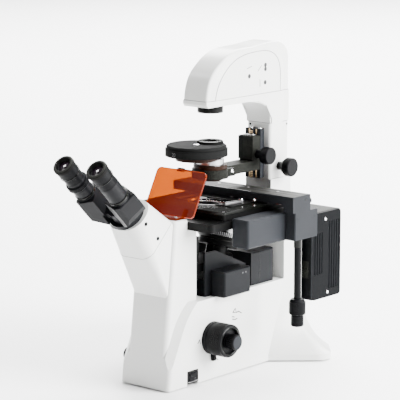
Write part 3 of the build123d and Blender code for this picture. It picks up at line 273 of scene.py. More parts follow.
# Each finish with the record's slot that it stands for
finishes = {
    "enamel": (enamel(), "white_paint"),
    "plastic": (satin_black("satin_black", 0.0028, 0.34, 2600.0, 0.2, 0.06), "black_plastic"),
    "head_plastic": (satin_black("head_plastic", 0.0045, 0.30, 2200.0, 0.16, 0.10), "black_plastic"),
    "anodised": (anodised("black_anodised", 0.0028, 0.32, (1.0, 1.02, 1.0)), "black_anodised"),
    "matt_anodised": (
        anodised("matt_anodised", 0.0075, 0.55, (1.0, 1.03, 1.02), 0.0, 0.012), "black_anodised"
    ),
    "cool_anodised": (anodised("cool_anodised", 0.015, 0.36, cool), "black_anodised"),
    "slate": (anodised("slate_anodised", 0.0065, 0.36, cool), "black_anodised"),
    # Paler anodised for the eyecup rims and the specimen holder's edges, and also for a painted sheen on the
    # rail's top and a painted highlight along the stage pad's edge
    "worn_and_sheen_anodised": (anodised("worn_and_sheen_anodised", 0.022, 0.36, (1.0, 1.0, 0.92), 0.2), "black_anodised"),
    "brown": (anodised("brown_anodised", 0.006, 0.28, warm_brown, 0.1), "brown_metal"),
    "crinkle": (crinkle(), "black_paint"),
    "sheet": (sheet_paint(), "black_paint"),
    "gloss": (gloss_black(), "black_gloss"),
    "chrome": (bright_metal("bright_chrome", 0.82, 0.08), "chrome"),
    "steel": (bright_metal("brushed_steel", 0.5, 0.26, (0.06, 1.0, 1.0)), "steel"),
    "brass": (bright_metal("turned_brass", 0.62, 0.2, tint=brass_tint), "brown_metal"),
    "rubber": (rubber(), "rubber"),
    "orange": (orange_acrylic("orange_acrylic", 0.1, deep_red, light_red), "orange_acrylic"),
    "orange_edge_glow": (orange_acrylic("orange_edge_glow", 0.9, deep_pink, light_pink), "orange_acrylic"),
    "lens": (coated_glass(), "glass"),
    "glass": (clear_glass(), "glass"),
    "grille": (anodised("grille_grey", 0.05, 0.4, (1.0, 1.0, 0.96)), "black_anodised"),
}
for ink_name, color, slot_name in (
    ("shade_line", (0.24, 0.24, 0.245), "white_paint"),
    ("dark_line", (0.006, 0.006, 0.007), "black_plastic"),
    ("pale_line", (0.72, 0.73, 0.74), "white_paint"),
    ("grey_line", (0.05, 0.05, 0.053), "black_plastic"),
    ("yellow_band", (0.75, 0.55, 0.05), "brown_metal"),
    ("green_band", (0.05, 0.35, 0.12), "brown_metal"),
    ("red_band", (0.6, 0.04, 0.03), "brown_metal"),
    ("blue_band", (0.05, 0.2, 0.55), "brown_metal"),
):
    finishes[ink_name] = (ink(ink_name, color), slot_name)

# The CAD nodes in each finish
node_finish = {
    "enamel": ["base_frame", "neck_lower", "neck_upper", "column", "head_lower", "head_upper"],
    "rubber": ["rubber_feet"],
    "plastic": [
        "switch_bezel", "power_rocker", "brightness_knob", "mains_inlet", "coarse_knobs", "fine_knobs",
        "eyepiece_right", "eyepiece_left", "dioptre_ring", "clamp_knob", "condenser_knob", "y_knob",
        "x_knob", "rail_lock_knob", "tension_ring",
    ],
    "head_plastic": ["prism_right", "prism_left", "bino_mount_ring"],
    "crinkle": ["bottom_plate", "condenser_carriage"],
    "sheet": ["lamp_shell", "lamp_louvres", "lamp_grille", "filter_housing"],
    "steel": ["hinge_pin", "specimen_clip", "focus_guide", "objectives", "aperture_ring"],
    "gloss": ["stage_plate"],
    "anodised": [
        "stage_frame", "stage_pad", "specimen_holder", "epi_tube", "focus_carriage", "nosepiece",
        "camera_port_tube", "c_mount_adapter", "collector",
    ],
    "matt_anodised": ["phase_turret", "turret_cover"],
    "cool_anodised": ["cross_block", "stage_y_block", "x_rail", "condenser_rail"],
    "slate": ["filter_slider", "filter_panel", "epi_housing"],
    "chrome": ["stage_insert"],
    "orange": ["light_shield", "shield_holder"],
    "glass": ["lamp_bulb"],
    "brown": ["condenser_body"],
}

for finish_name, nodes in node_finish.items():
    for node in nodes:
        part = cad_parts[node]
        part.data.materials.clear()
        part.data.materials.append(finishes[finish_name][0])


# Mesh tools


def seat(origin, up, across):
    """Local frame of a piece: its Z is up, its X goes across, its origin is in millimetres."""
    z = Vector(up).normalized()
    x = Vector(across)
    x = (x - z * x.dot(z)).normalized()
    made = Matrix((x, z.cross(x), z)).transposed().to_4x4()
    made.translation = mm(*origin)
    return made


def piece(name, mesh, body, finish):
    """Scene object of a finished mesh, riding on a body."""
    material, slot = finishes[finish]
    mesh.materials.clear()
    mesh.materials.append(material)
    made = bpy.data.objects.new(name, mesh)
    bpy.context.scene.collection.objects.link(made)
    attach(made, body)
    return made


class Form:
    """Mesh that is being made of closed shells, each given in millimetres in its own seat."""

    def __init__(self):
        self.shape = bmesh.new()

    def settle(self, before, where):
        """Close, turn outwards and place the shell that was added last."""
        fresh = [v for v in self.shape.verts if v not in before]
        bmesh.ops.remove_doubles(self.shape, verts=fresh, dist=SAME_CORNER)
        fresh = [v for v in self.shape.verts if v not in before]
        faces = list({f for v in fresh for f in v.link_faces})
        bmesh.ops.recalc_face_normals(self.shape, faces=faces)
        bmesh.ops.transform(self.shape, matrix=where, verts=fresh)
        return self

    def turned(self, where, *profile, steps=64):
        """Shell turned about the seat's Z from (radius, height) corners."""
        before = set(self.shape.verts)
        ring = [self.shape.verts.new(mm(r, 0, z)) for r, z in profile]
        edges = [self.shape.edges.new(pair) for pair in zip(ring, ring[1:] + ring[:1])]
        bmesh.ops.spin(
            self.shape, geom=ring + edges, cent=(0, 0, 0), axis=(0, 0, 1), angle=2 * pi,
            steps=steps, use_merge=True,
        )
        return self.settle(before, where)

    def plate(self, where, outline, low, high, bevel=0.0):
        """Plate with the given corners, from one height to another, with its edges broken."""
        before = set(self.shape.verts)
        face = self.shape.faces.new([self.shape.verts.new(mm(x, y, low)) for x, y in outline])
        grown = bmesh.ops.extrude_face_region(self.shape, geom=[face])["geom"]
        corners = [v for v in grown if isinstance(v, bmesh.types.BMVert)]
        bmesh.ops.translate(self.shape, vec=mm(0, 0, high - low), verts=corners)
        if bevel:
            edges = list({e for v in self.shape.verts if v not in before for e in v.link_edges})
            bmesh.ops.bevel(
                self.shape, geom=edges, offset=bevel * MM, segments=2, profile=0.6, affect="EDGES"
            )
        return self.settle(before, where)

    def bar(self, where, x, y, z, bevel=0.3):
        """Box between (low, high) pairs."""
        outline = [(x[0], y[0]), (x[1], y[0]), (x[1], y[1]), (x[0], y[1])]
        return self.plate(where, outline, z[0], z[1], bevel)

    def finish(self, name, body, finish):
        """Piece of all the shells."""
        mesh = bpy.data.meshes.new(name)
        self.shape.to_mesh(mesh)
        self.shape.free()
        return piece(name, mesh, body, finish)


def smooth(made, angle):
    """Smooth shading over edges flatter than an angle in degrees."""
    for face in made.data.polygons:
        face.use_smooth = True
    made.data.set_sharp_from_angle(angle=radians(angle))


def plain_mesh(guide):
    """Mesh of an evaluated helper object, which is removed."""
    evaluated = guide.evaluated_get(bpy.context.evaluated_depsgraph_get())
    mesh = bpy.data.meshes.new_from_object(evaluated)
    bpy.data.objects.remove(guide)
    return mesh


def wire(name, body, finish, radius, *lines, closed=False):
    """Round wire along each line of points, such as a printed line or a seam."""
    data = bpy.data.curves.new(name, "CURVE")
    data.dimensions = "3D"
    data.bevel_depth = radius * MM
    data.bevel_resolution = 1
    data.use_fill_caps = True
    for points in lines:
        spline = data.splines.new("POLY")
        spline.points.add(len(points) - 1)
        for point, place in zip(spline.points, points):
            point.co = (*mm(*place), 1.0)
        spline.use_cyclic_u = closed
    guide = bpy.data.objects.new(name, data)
    bpy.context.scene.collection.objects.link(guide)
    piece(name, plain_mesh(guide), body, finish)


def surface_point(node, start, direction):
    """Point in millimetres and normal where a ray meets a CAD node."""
    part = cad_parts[node].data
    faces = [tuple(p.vertices) for p in part.polygons]
    tree = BVHTree.FromPolygons([v.co for v in part.vertices], faces)
    place, normal, _, _ = tree.ray_cast(mm(*start), Vector(direction).normalized())
    return place / MM, normal


def rim_of(node, point, normal, proud=0.05):
    """Corners of a CAD node that lie on a plane, in order round it, a little outside its surface."""
    point = mm(*point)
    normal = Vector(normal).normalized()
    corners = [v.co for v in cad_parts[node].data.vertices]
    flat = [corner for corner in corners if abs((corner - point).dot(normal)) < ON_PLANE]
    middle = sum(flat, Vector()) / len(flat)
    across = normal.orthogonal().normalized()
    side = normal.cross(across)
    kept = {}
    for corner in flat:
        out = corner - middle
        turn = round(atan2(out.dot(side), out.dot(across)), 3)
        if turn not in kept or out.length > kept[turn].length:
            kept[turn] = out
    outwards = [out for _, out in sorted(kept.items())]
    return [tuple((middle + out * (1 + proud * MM / out.length)) / MM) for out in outwards]


# Geometry Nodes


class Tree:
    """A Geometry Nodes tree with named inputs; it ends in Realize Instances and Set Material."""

    def __init__(self, name, **sizes):
        self.group = bpy.data.node_groups.new(name, "GeometryNodeTree")
        self.sockets = {}
        for key, value in sizes.items():
            kind = "NodeSocketInt" if isinstance(value, int) else "NodeSocketFloat"
            self.sockets[key] = self.socket(key, "INPUT", kind)
        self.material = self.socket("Finish", "INPUT", "NodeSocketMaterial")
        self.socket("Geometry", "OUTPUT", "NodeSocketGeometry")
        self.given = self.group.nodes.new("NodeGroupInput").outputs

    def socket(self, name, direction, kind):
        return self.group.interface.new_socket(name, in_out=direction, socket_type=kind)

    def node(self, kind, settings=None, inputs=None, output=0):
        made = self.group.nodes.new(kind)
        for key, value in (settings or {}).items():
            setattr(made, key, value)
        for key, value in (inputs or {}).items():
            for one in value if isinstance(value, list) else [value]:
                if isinstance(one, bpy.types.NodeSocket):
                    self.group.links.new(one, made.inputs[key])
                else:
                    made.inputs[key].default_value = one
        return made.outputs[output]

    def maths(self, operation, first, second=0.0):
        return self.node("ShaderNodeMath", {"operation": operation}, {0: first, 1: second})

    def vector(self, x=0.0, y=0.0, z=0.0):
        return self.node("ShaderNodeCombineXYZ", None, {0: x, 1: y, 2: z})

    def end(self, geometry):
        real = self.node("GeometryNodeRealizeInstances", None, {"Geometry": geometry})
        inputs = {"Geometry": real, "Material": self.given["Finish"]}
        painted = self.node("GeometryNodeSetMaterial", None, inputs)
        self.group.links.new(painted, self.group.nodes.new("NodeGroupOutput").inputs[0])

    def line(self):
        """Points along X at the tree's pitch."""
        inputs = {"Count": self.given["Count"], "Offset": self.vector(self.given["Pitch"])}
        return self.node("GeometryNodeMeshLine", None, inputs)

    def make(self, name, where, body, finish, **sizes):
        """Piece of the tree in a seat: whole numbers are counts and the other sizes millimetres."""
        holder = bpy.data.objects.new(name, bpy.data.meshes.new(name))
        bpy.context.scene.collection.objects.link(holder)
        modifier = holder.modifiers.new("shape", "NODES")
        modifier.node_group = self.group
        for key, value in sizes.items():
            modifier[self.sockets[key].identifier] = value if isinstance(value, int) else value * MM
        modifier[self.material.identifier] = finishes[finish][0]
        mesh = plain_mesh(holder)
        mesh.transform(where)
        piece(name, mesh, body, finish)


def rib_tree():
    """Ribs round a knob: boxes on a circle, each turned to face outwards."""
    tree = Tree("ribs", Count=1, Radius=1.0, Length=1.0, Width=1.0, Height=1.0)
    given = tree.given
    inputs = {"Vertices": given["Count"], "Radius": given["Radius"]}
    ring = tree.node("GeometryNodeMeshCircle", None, inputs)
    size = tree.vector(given["Height"], given["Width"], given["Length"])
    rib = tree.node("GeometryNodeMeshCube", None, {"Size": size})
    outwards = {"Vector": tree.node("GeometryNodeInputPosition")}
    turn = tree.node("FunctionNodeAlignRotationToVector", {"axis": "X"}, outwards)
    inputs = {"Points": ring, "Instance": rib, "Rotation": turn}
    tree.end(tree.node("GeometryNodeInstanceOnPoints", None, inputs))
    return tree


def row_tree():
    """Row of equal bars along X, such as louvre vanes, scale ticks or slats, each leaning about Y."""
    tree = Tree("row", Count=1, Pitch=1.0, Width=1.0, Depth=1.0, Height=1.0, Lean=1.0)
    given = tree.given
    points = tree.line()
    size = tree.vector(given["Width"], given["Depth"], given["Height"])
    bar = tree.node("GeometryNodeMeshCube", None, {"Size": size})
    # The lean is an angle, so the scale that it is given in as a size is taken out
    lean = tree.vector(0.0, tree.maths("MULTIPLY", given["Lean"], 1 / MM), 0.0)
    inputs = {"Points": points, "Instance": bar, "Rotation": lean}
    tree.end(tree.node("GeometryNodeInstanceOnPoints", None, inputs))
    return tree


def mesh_sheet_tree():
    """Perforated sheet: square cells with a round hole, set side by side and given a thickness."""
    tree = Tree("perforated", Across=1, Along=1, Pitch=1.0, Hole=1.0, Thickness=1.0)
    given = tree.given

    def span(count):
        return tree.maths("MULTIPLY", given["Pitch"], tree.maths("SUBTRACT", given[count], 1.0))

    def merged(geometry):
        inputs = {"Geometry": geometry, "Distance": SAME_POINT}
        return tree.node("GeometryNodeMergeByDistance", None, inputs)

    inputs = {"Width": given["Pitch"], "Height": given["Pitch"]}
    square = tree.node("GeometryNodeCurvePrimitiveQuadrilateral", None, inputs)
    inputs = {"Resolution": 10, "Radius": given["Hole"]}
    hole = tree.node("GeometryNodeCurvePrimitiveCircle", None, inputs)
    both = tree.node("GeometryNodeJoinGeometry", None, {"Geometry": [square, hole]})
    cell = tree.node("GeometryNodeFillCurve", None, {"Curve": both})
    inputs = {
        "Size X": span("Across"), "Size Y": span("Along"),
        "Vertices X": given["Across"], "Vertices Y": given["Along"],
    }
    grid = tree.node("GeometryNodeMeshGrid", None, inputs)
    cells = tree.node("GeometryNodeInstanceOnPoints", None, {"Points": grid, "Instance": cell})
    flat = merged(tree.node("GeometryNodeRealizeInstances", None, {"Geometry": cells}))
    inputs = {"Mesh": flat, "Offset Scale": given["Thickness"], "Individual": False}
    thick = tree.node("GeometryNodeExtrudeMesh", None, inputs)
    under = tree.node("GeometryNodeFlipFaces", None, {"Mesh": flat})
    tree.end(merged(tree.node("GeometryNodeJoinGeometry", None, {"Geometry": [thick, under]})))
    return tree


def socket_screw_tree():
    """Row of screw heads, each a short cylinder with a hexagon socket in it."""
    tree = Tree("screws", Count=1, Pitch=1.0, Radius=1.0, Height=1.0, Socket=1.0)
    given = tree.given
    inputs = {"Vertices": 24, "Radius": given["Radius"], "Depth": given["Height"]}
    head = tree.node("GeometryNodeMeshCylinder", None, inputs)
    inputs = {"Vertices": 6, "Radius": given["Socket"], "Depth": given["Height"]}
    socket = tree.node("GeometryNodeMeshCylinder", None, inputs)
    rise = tree.vector(0, 0, tree.maths("MULTIPLY", given["Height"], SOCKET_RISE))
    raised = tree.node("GeometryNodeTransform", None, {"Geometry": socket, "Translation": rise})
    inputs = {"Mesh 1": head, "Mesh 2": raised}
    cut = tree.node("GeometryNodeMeshBoolean", {"operation": "DIFFERENCE"}, inputs)
    tree.end(tree.node("GeometryNodeInstanceOnPoints", None, {"Points": tree.line(), "Instance": cut}))
    return tree


ribs = rib_tree()
row = row_tree()
perforated = mesh_sheet_tree()
screws = socket_screw_tree()

x_axis = (1, 0, 0)
y_axis = (0, 1, 0)
z_axis = (0, 0, 1)
left = (-1, 0, 0)
front = (0, -1, 0)
down = (0, 0, -1)
sides = ((1, "right"), (-1, "left"))


def level(x, y, z):
    """Seat that stands upright at a place."""
    return seat((x, y, z), z_axis, x_axis)


def knob_ribs(name, body, finish, where, count, radius, length, width, height):
    """Ribs on a circle round a seat's Z."""
    ribs.make(
        name, where, body, finish, Count=count, Radius=radius, Length=length, Width=width, Height=height
    )


def screw_row(name, body, finish, where, radius, height, socket, count=1, pitch=0.0):
    """Socket screws in a row along a seat's X."""
    screws.make(
        name, where, body, finish, Count=count, Pitch=pitch, Radius=radius, Height=height, Socket=socket
    )


def bar_row(name, body, finish, where, count, pitch, size, lean=0.0):
    """Equal bars in a row along a seat's X, each leaning by an angle in radians."""
    width, depth, height = size
    row.make(
        name, where, body, finish,
        Count=count, Pitch=pitch, Width=width, Depth=depth, Height=height, Lean=lean,
    )


def screw(name, body, finish, node, start, direction, radius, height):
    """Socket screw on a CAD node, where a ray from the start meets it."""
    place, normal = surface_point(node, start, direction)
    if normal.dot(Vector(direction)) > 0:
        normal = -normal
    where = seat(tuple(place), normal, normal.orthogonal())
    screw_row(name, body, finish, where, radius, height, radius * SOCKET_SHARE)


def lathe(name, body, finish, seats, *profile, steps=64, sharp=35.0):
    """Piece turned from (radius, height) corners in one seat or several; no sharp angle leaves it flat."""
    form = Form()
    for where in seats if isinstance(seats, list) else [seats]:
        form.turned(where, *profile, steps=steps)
    made = form.finish(name, body, finish)
    if sharp:
        smooth(made, sharp)


def boxes(name, body, finish, where, *sizes, bevel=0.3):
    """Piece of boxes in one seat, each given by (low, high) pairs along X, Y and Z."""
    form = Form()
    for size in sizes:
        form.bar(where, *size, bevel)
    form.finish(name, body, finish)


# Places that several pieces share, in millimetres

optic_y = 27
base_side = 52.0
stage_top = 282.9
rail_top = 299.5
rail_end = 144.1
lamp_front = 214.9
lamp_side = 68.6
head_side = 27.0


# Binocular head

mount = (0, -175.2, 287.8)
tilt = radians(45.0)
arm_axis = Vector((0, -sin(tilt), cos(tilt)))
arm_up = Vector((0, cos(tilt), sin(tilt)))
arm_length = 36.8
left_turn = -160.0


def arm_seat(turn, up=0.0):
    """Seat on the axis of the eyepiece whose arm is turned by an angle, at a height above the mount."""
    out = Vector(x_axis) * cos(radians(turn)) + arm_up * sin(radians(turn))
    place = Vector(mount) + out * arm_length + arm_axis * up
    return seat(tuple(place), arm_axis, out)


for side, turn, body in (("right", -20.0, "right_prism"), ("left", left_turn, "left_prism")):
    axis = arm_seat(turn)
    lathe(
        "eyecup_" + side, body, "rubber", axis, (13.2, 139.6), (13.2, 136.6), (12.0, 136.0), (12.0, 141.0),
        (12.6, 142.4), (14.6, 143.0), (16.4, 142.6), (17.5, 141.2), (17.6, 137.0), (17.1, 136.8),
        (17.1, 140.6), (16.2, 141.6), (14.4, 141.8),
    )
    lathe(
        "eyecup_rim_" + side, body, "worn_and_sheen_anodised", axis, (16.2, 141.8), (16.9, 142.2), (16.2, 142.9),
        (14.6, 143.3), (13.2, 142.9), (12.6, 142.0), (14.4, 142.0), steps=72,
    )
    lathe(
        "eye_lens_" + side, body, "lens", axis, (0, 138.6), (3.5, 138.4), (6.6, 137.8), (9.2, 136.8),
        (10.4, 136.2), (10.4, 135.4), (0, 135.4), steps=56, sharp=60,
    )
    lathe(
        "lens_ring_" + side, body, "gloss", axis,
        (10.0, 136.9), (10.5, 137.3), (11.9, 137.3), (12.4, 136.0), (10.2, 136.0), steps=56,
    )
    lathe(
        "head_ring_" + side, body, "gloss", axis,
        (16.4, 120.2), (17.05, 120.4), (17.2, 121.0), (17.05, 121.6), (16.4, 121.8),
    )
    lathe(
        "tube_collar_" + side, body, "gloss", axis,
        (15.4, 71.5), (17.0, 71.5), (17.4, 72.2), (17.2, 74.8), (16.5, 75.4), (15.6, 75.4),
    )
knob_ribs("dioptre_ribs", "dioptre", "plastic", arm_seat(left_turn, 96.5), 64, 18.5, 6.2, 0.8, 0.5)


# Focus knobs

focus = (-30.0, 71.0)


def knob_seat(side, x):
    """Seat on the focus shaft that faces outwards on one side."""
    return seat((side * x, *focus), (side, 0, 0), y_axis)


for side, hand in sides:
    knob_ribs("coarse_ribs_" + hand, "coarse", "plastic", knob_seat(side, 76.5), 96, 27.0, 17.0, 0.9, 0.5)
    knob_ribs("fine_ribs_" + hand, "fine", "plastic", knob_seat(side, 97.5), 30, 12.4, 11.0, 1.5, 1.0)
    lathe(
        "coarse_face_ring_" + hand, "coarse", "gloss", knob_seat(side, 88.0),
        (21.8, 0.4), (22.0, 2.0), (22.6, 2.25), (23.2, 2.0), (23.2, 0.4),
    )
    lathe(
        "fine_cap_" + hand, "fine", "cool_anodised", knob_seat(side, 104.9),
        (0, 0.0), (10.6, 0.0), (10.6, 0.35), (10.2, 0.4), (0, 0.4),
    )
grip_outline = [(-3.4, -36.6), (3.4, -36.6), (3.2, -31.0), (4.2, -26.0), (-4.2, -26.0), (-3.2, -31.0)]
grip = Form().plate(seat((52.6, *focus), x_axis, y_axis), grip_outline, 4.9, 5.9, 0.4)
grip.finish("lever_grip", "tension", "rubber")

# Printed marks round the focus knobs: plain arrows and arcs
marks = [
    [(22.5, 103.1), (29.4, 109.0), (31.3, 101.5), (22.5, 103.1)],
    [(31.3, 101.5), (38.3, 102.4), (45.4, 98.1)],
    [(20.9, 96.6), (26.7, 94.8)],
    [(21.6, 92.0), (28.5, 90.2), (34.2, 91.1)],
    [(-66.7, 67.9), (-62.2, 73.6), (-60.0, 65.8)],
    [(-29.5, 35.8), (-22.6, 35.5), (-15.1, 30.9)],
]
for side, hand in sides:
    lines = [[(side * base_side, y, z) for y, z in mark] for mark in marks]
    wire("focus_marks_" + hand, "stand", "dark_line", 0.85, *lines)


# Stand

neck_seam = rim_of("neck_upper", tuple(Vector(mount) - arm_axis * 56.6), arm_axis)
wire("neck_seam", "stand", "dark_line", 0.28, neck_seam, closed=True)
for side, hand in sides:
    for number, (y, z) in enumerate(((-172.0, 278.0), (-144.6, 250.8))):
        screw(
            "neck_screw_%s_%d" % (hand, number), "stand", "plastic",
            "neck_upper", (side * 80, y, z), (-side, 0, 0), 3.2, 0.9,
        )

# Power switch: a stroke and a circle on the rocker, the bezel's edges and a bright strip
stroke = [(54.0, -84.0, 19.4), (54.0, -84.0, 16.4)]
circle = [
    (53.8, -75.0 + 1.6 * cos(radians(a)), 12.0 + 1.6 * sin(radians(a))) for a in range(0, 361, 30)
]
wire("rocker_marks", "rocker", "grey_line", 0.25, stroke, circle)
boxes(
    "bezel_edge", "stand", "gloss", seat((52.8, -79.5, 16.0), x_axis, y_axis),
    ((-12.6, 12.6), (8.4, 10.0), (-0.6, 0.5)), ((-12.6, 12.6), (-10.0, -8.8), (-0.6, 0.5)),
)
boxes(
    "bezel_strip", "stand", "steel", seat((53.0, -79.5, 16.0), x_axis, y_axis),
    ((-11.6, 11.6), (-8.4, -7.2), (-0.4, 0.3)), bevel=0.2,
)

# Brightness knob on the left
dimmer_y, dimmer_z = -105, 40
knob_ribs(
    "dimmer_ribs", "dimmer", "plastic", seat((-59.5, dimmer_y, dimmer_z), left, y_axis),
    36, 11.0, 9.0, 1.0, 0.5,
)
wire("dimmer_mark", "dimmer", "pale_line", 0.35, [(-66.1, dimmer_y, dimmer_z + rise) for rise in (3.0, 8.5)])
ticks = []
for angle in range(-130, 131, 26):
    c, s = cos(radians(angle + 90)), sin(radians(angle + 90))
    ticks.append([(-52.1, dimmer_y + reach * c, dimmer_z + reach * s) for reach in (13.5, 15.5)])
wire("dimmer_scale", "stand", "grey_line", 0.3, *ticks)

# Camera port on the left
port_z = 100
lathe(
    "port_ring", "stand", "chrome", seat((-57.6, optic_y, port_z), left, y_axis),
    (24.6, 0), (25.6, 0.4), (25.8, 2.0), (25.6, 3.6), (24.6, 4.0),
)
knob_ribs(
    "adapter_ribs", "stand", "anodised", seat((-103.5, optic_y, port_z), left, y_axis),
    60, 24.0, 6.0, 1.1, 0.5,
)
port_radius = 25.1
for number, angle in enumerate((90, 210, 330)):
    c, s = cos(radians(angle)), sin(radians(angle))
    where = seat((-90, optic_y + port_radius * c, port_z + port_radius * s), (0, c, s), x_axis)
    screw_row("port_screw_%d" % number, "stand", "steel", where, 2.0, 1.0, 1.1)

# Mains inlet, vents and cover plate
pins = Form()
for x, z in ((-7, 46), (0, 42), (7, 46)):
    pins.bar(seat((x, 210, z), y_axis, x_axis), (-0.9, 0.9), (-2.0, 2.0), (0, 5.6))
pins.finish("inlet_pins", "stand", "chrome")
flange = (0, 0.8)
boxes(
    "inlet_flange", "stand", "plastic", seat((0, 216, 45), y_axis, left),
    ((-23.6, 23.6), (10.6, 13.2), flange), ((-23.6, 23.6), (-13.2, -10.6), flange),
    ((-23.6, -13.6), (-10.6, 10.6), flange), ((13.6, 23.6), (-10.6, 10.6), flange),
)
screw_row("inlet_screws", "stand", "steel", seat((18.5, 217, 45), y_axis, left), 2.2, 1.0, 1.2, 2, 37.0)
# Dark bars on the back: painted shade in the vent slots
bar_row(
    "back_vent_shade_bars", "stand", "dark_line", seat((-26.0, 208.1, 100), y_axis, x_axis), 9, 6.5, (2.4, 26.0, 0.3)
)
for name, y in (("plate_screws_front", -121), ("plate_screws_back", 190)):
    screw_row(name, "stand", "steel", seat((-30, y, 2.7), down, x_axis), 2.6, 0.9, 1.4, 2, 60.0)


# Light shield: cut edges with a bright painted glow

lean = radians(28.0)
shield = seat((0, -77, 273.5), (0, -cos(lean), sin(lean)), x_axis)
edge = [(-48, 0), (48, 0), (52, 4), (52, 70)]
edge += [(44 + 8 * cos(radians(a)), 70 + 8 * sin(radians(a))) for a in range(15, 91, 15)]
edge += [(-44 - 8 * cos(radians(a)), 70 + 8 * sin(radians(a))) for a in range(90, -1, -15)]
edge += [(-52, 4)]
middle, inset = 39, 0.992
inner = [(x * inset, middle + (y - middle) * inset) for x, y in edge]
rim = Form()
for corners in zip(edge, edge[1:] + edge[:1], inner[1:] + inner[:1], inner):
    rim.plate(shield, corners, 0.05, 2.95)
rim.finish("shield_edge_glow", "stand", "orange_edge_glow")
screw_row("holder_screws", "stand", "steel", level(-28, -92.0, 276.2), 2.4, 1.0, 1.3, 2, 56.0)


# Stage and cross drive

# Chrome bars on the rail's front that stand in for its glints, a painted glint: place along X and Z, half
# length and half width
glint_bar_sizes = ((64.4, 286.0, 4.0, 0.7), (16.9, 286.2, 2.6, 0.6), (115.0, 285.2, 6.5, 0.7))
rail_glint_bars = Form()
for x, z, half_length, half_width in glint_bar_sizes:
    rail_glint_bars.bar(
        seat((x, 62.9, z), front, x_axis),
        (-half_length, half_length), (-half_width, half_width), (0, 0.5), 0.2,
    )
rail_glint_bars.finish("rail_glint_bars", "y_stage", "chrome")
bar_row("rail_scale", "y_stage", "pale_line", level(-98.0, 66.0, rail_top + 0.06), 76, 2.0, (0.3, 2.2, 0.1))
bar_row(
    "rail_scale_long", "y_stage", "pale_line", level(-98.0, 66.8, rail_top + 0.08), 16, 10.0, (0.35, 3.8, 0.1)
)
# Paler sheet over the rail's top: a painted sheen on the top face
boxes(
    "rail_top_sheen", "y_stage", "worn_and_sheen_anodised", level(0, 86, rail_top),
    ((-109.0, 143.0), (-22.0, 22.0), (0, 0.05)), bevel=0.0,
)
line_z = rail_top + 0.05
wire(
    "rail_lines", "y_stage", "dark_line", 0.3,
    *[[(-108, y, line_z), (142, y, line_z)] for y in (70.0, 82.0, 98.0)],
)
wire("rail_end_line", "y_stage", "dark_line", 0.35, [(108, 64.5, line_z), (108, 107.5, line_z)])
screw_row("rail_screws", "y_stage", "steel", level(-96, 92, rail_top + 0.2), 2.6, 0.6, 1.5, 4, 62.0)
screw_row("end_screws", "y_stage", "gloss", seat((rail_end, 96.5, 291.5), x_axis, y_axis), 1.7, 0.6, 0.9)
screw_row(
    "block_screws", "y_stage", "cool_anodised", seat((rail_end - 0.05, 76, 262), x_axis, y_axis),
    2.2, 0.3, 1.2, 2, 46.0,
)
clip_arm = [(45.5, 12.0), (38.0, 12.6), (29.3, 12.9), (20.0, 12.6), (12.0, 10.9), (5.0, 7.0), (0.6, 1.0)]
wire("clip_arm", "clip", "chrome", 0.9, [(x, y, 286.4) for x, y in clip_arm])
lathe(
    "holder_stud", "x_stage", "chrome", seat((68.0, 62.0, 287.0), front, x_axis), (0, 6.4), (2.2, 6.2),
    (2.6, 5.6), (2.6, 3.4), (1.6, 3.0), (1.6, 2.2), (3.0, 1.8), (3.0, 0.0), (0, 0.0), steps=32, sharp=50,
)
lathe(
    "clip_screw", "clip", "chrome", level(46, 50, 285.4),
    (0, 3.4), (4.0, 3.2), (4.6, 2.0), (4.6, 0.6), (0, 0.6),
)
boxes(
    "holder_edges", "x_stage", "worn_and_sheen_anodised", level(0, optic_y, 284.4),
    ((-42, 42), (20.2, 21.4), (0, 0.5)), ((42.2, 43.4), (-20, 21.4), (0, 0.5)), bevel=0.2,
)
lathe(
    "insert_ring", "stand", "steel", level(0, optic_y, stage_top),
    (35.2, 0), (35.4, 0.25), (36.6, 0.25), (36.8, 0), steps=96,
)
for name, y in (("plate_corner_screws_front", -36), ("plate_corner_screws_back", 128)):
    screw_row(name, "stand", "steel", level(-80, y, stage_top + 0.02), 2.4, 0.5, 1.4, 2, 160.0)
# Pale strip along the stage pad's front edge: a painted highlight
boxes(
    "pad_edge_highlight", "stand", "worn_and_sheen_anodised", seat((0, -39.1, 278), front, x_axis),
    ((-83, 83), (-0.8, 0.8), (0, 0.15)), bevel=0.0,
)
boxes(
    "stage_front_strip", "stand", "anodised", level(0, 0, 0),
    ((-61.8, 61.8), (-47.9, -30.0), (266.6, 268.3)), bevel=0.2,
)
drive = (134.0, 89.4)
knob_ribs("y_knob_ribs", "y_drive", "plastic", level(*drive, 112.0), 48, 13.4, 18.0, 1.0, 0.7)
knob_ribs("x_knob_ribs", "x_drive", "plastic", level(*drive, 90.0), 40, 10.2, 15.0, 0.9, 0.6)
lathe(
    "drive_washer", "x_drive", "chrome", level(*drive, 99.8),
    (8.6, 0), (8.9, 0.3), (8.9, 1.0), (8.6, 1.2), (3.3, 1.2), (3.3, 0),
)
lathe(
    "drive_sleeve", "y_drive", "gloss", level(*drive, 212.0), (5.6, 0), (6.6, 0.5), (6.6, 13.4), (5.6, 13.9)
)
lock = seat((135, 114.2, 287), y_axis, x_axis)
knob_ribs("lock_ribs", "rail_lock", "plastic", lock, 20, 4.9, 7.0, 0.8, 0.5)


# Nosepiece and objectives

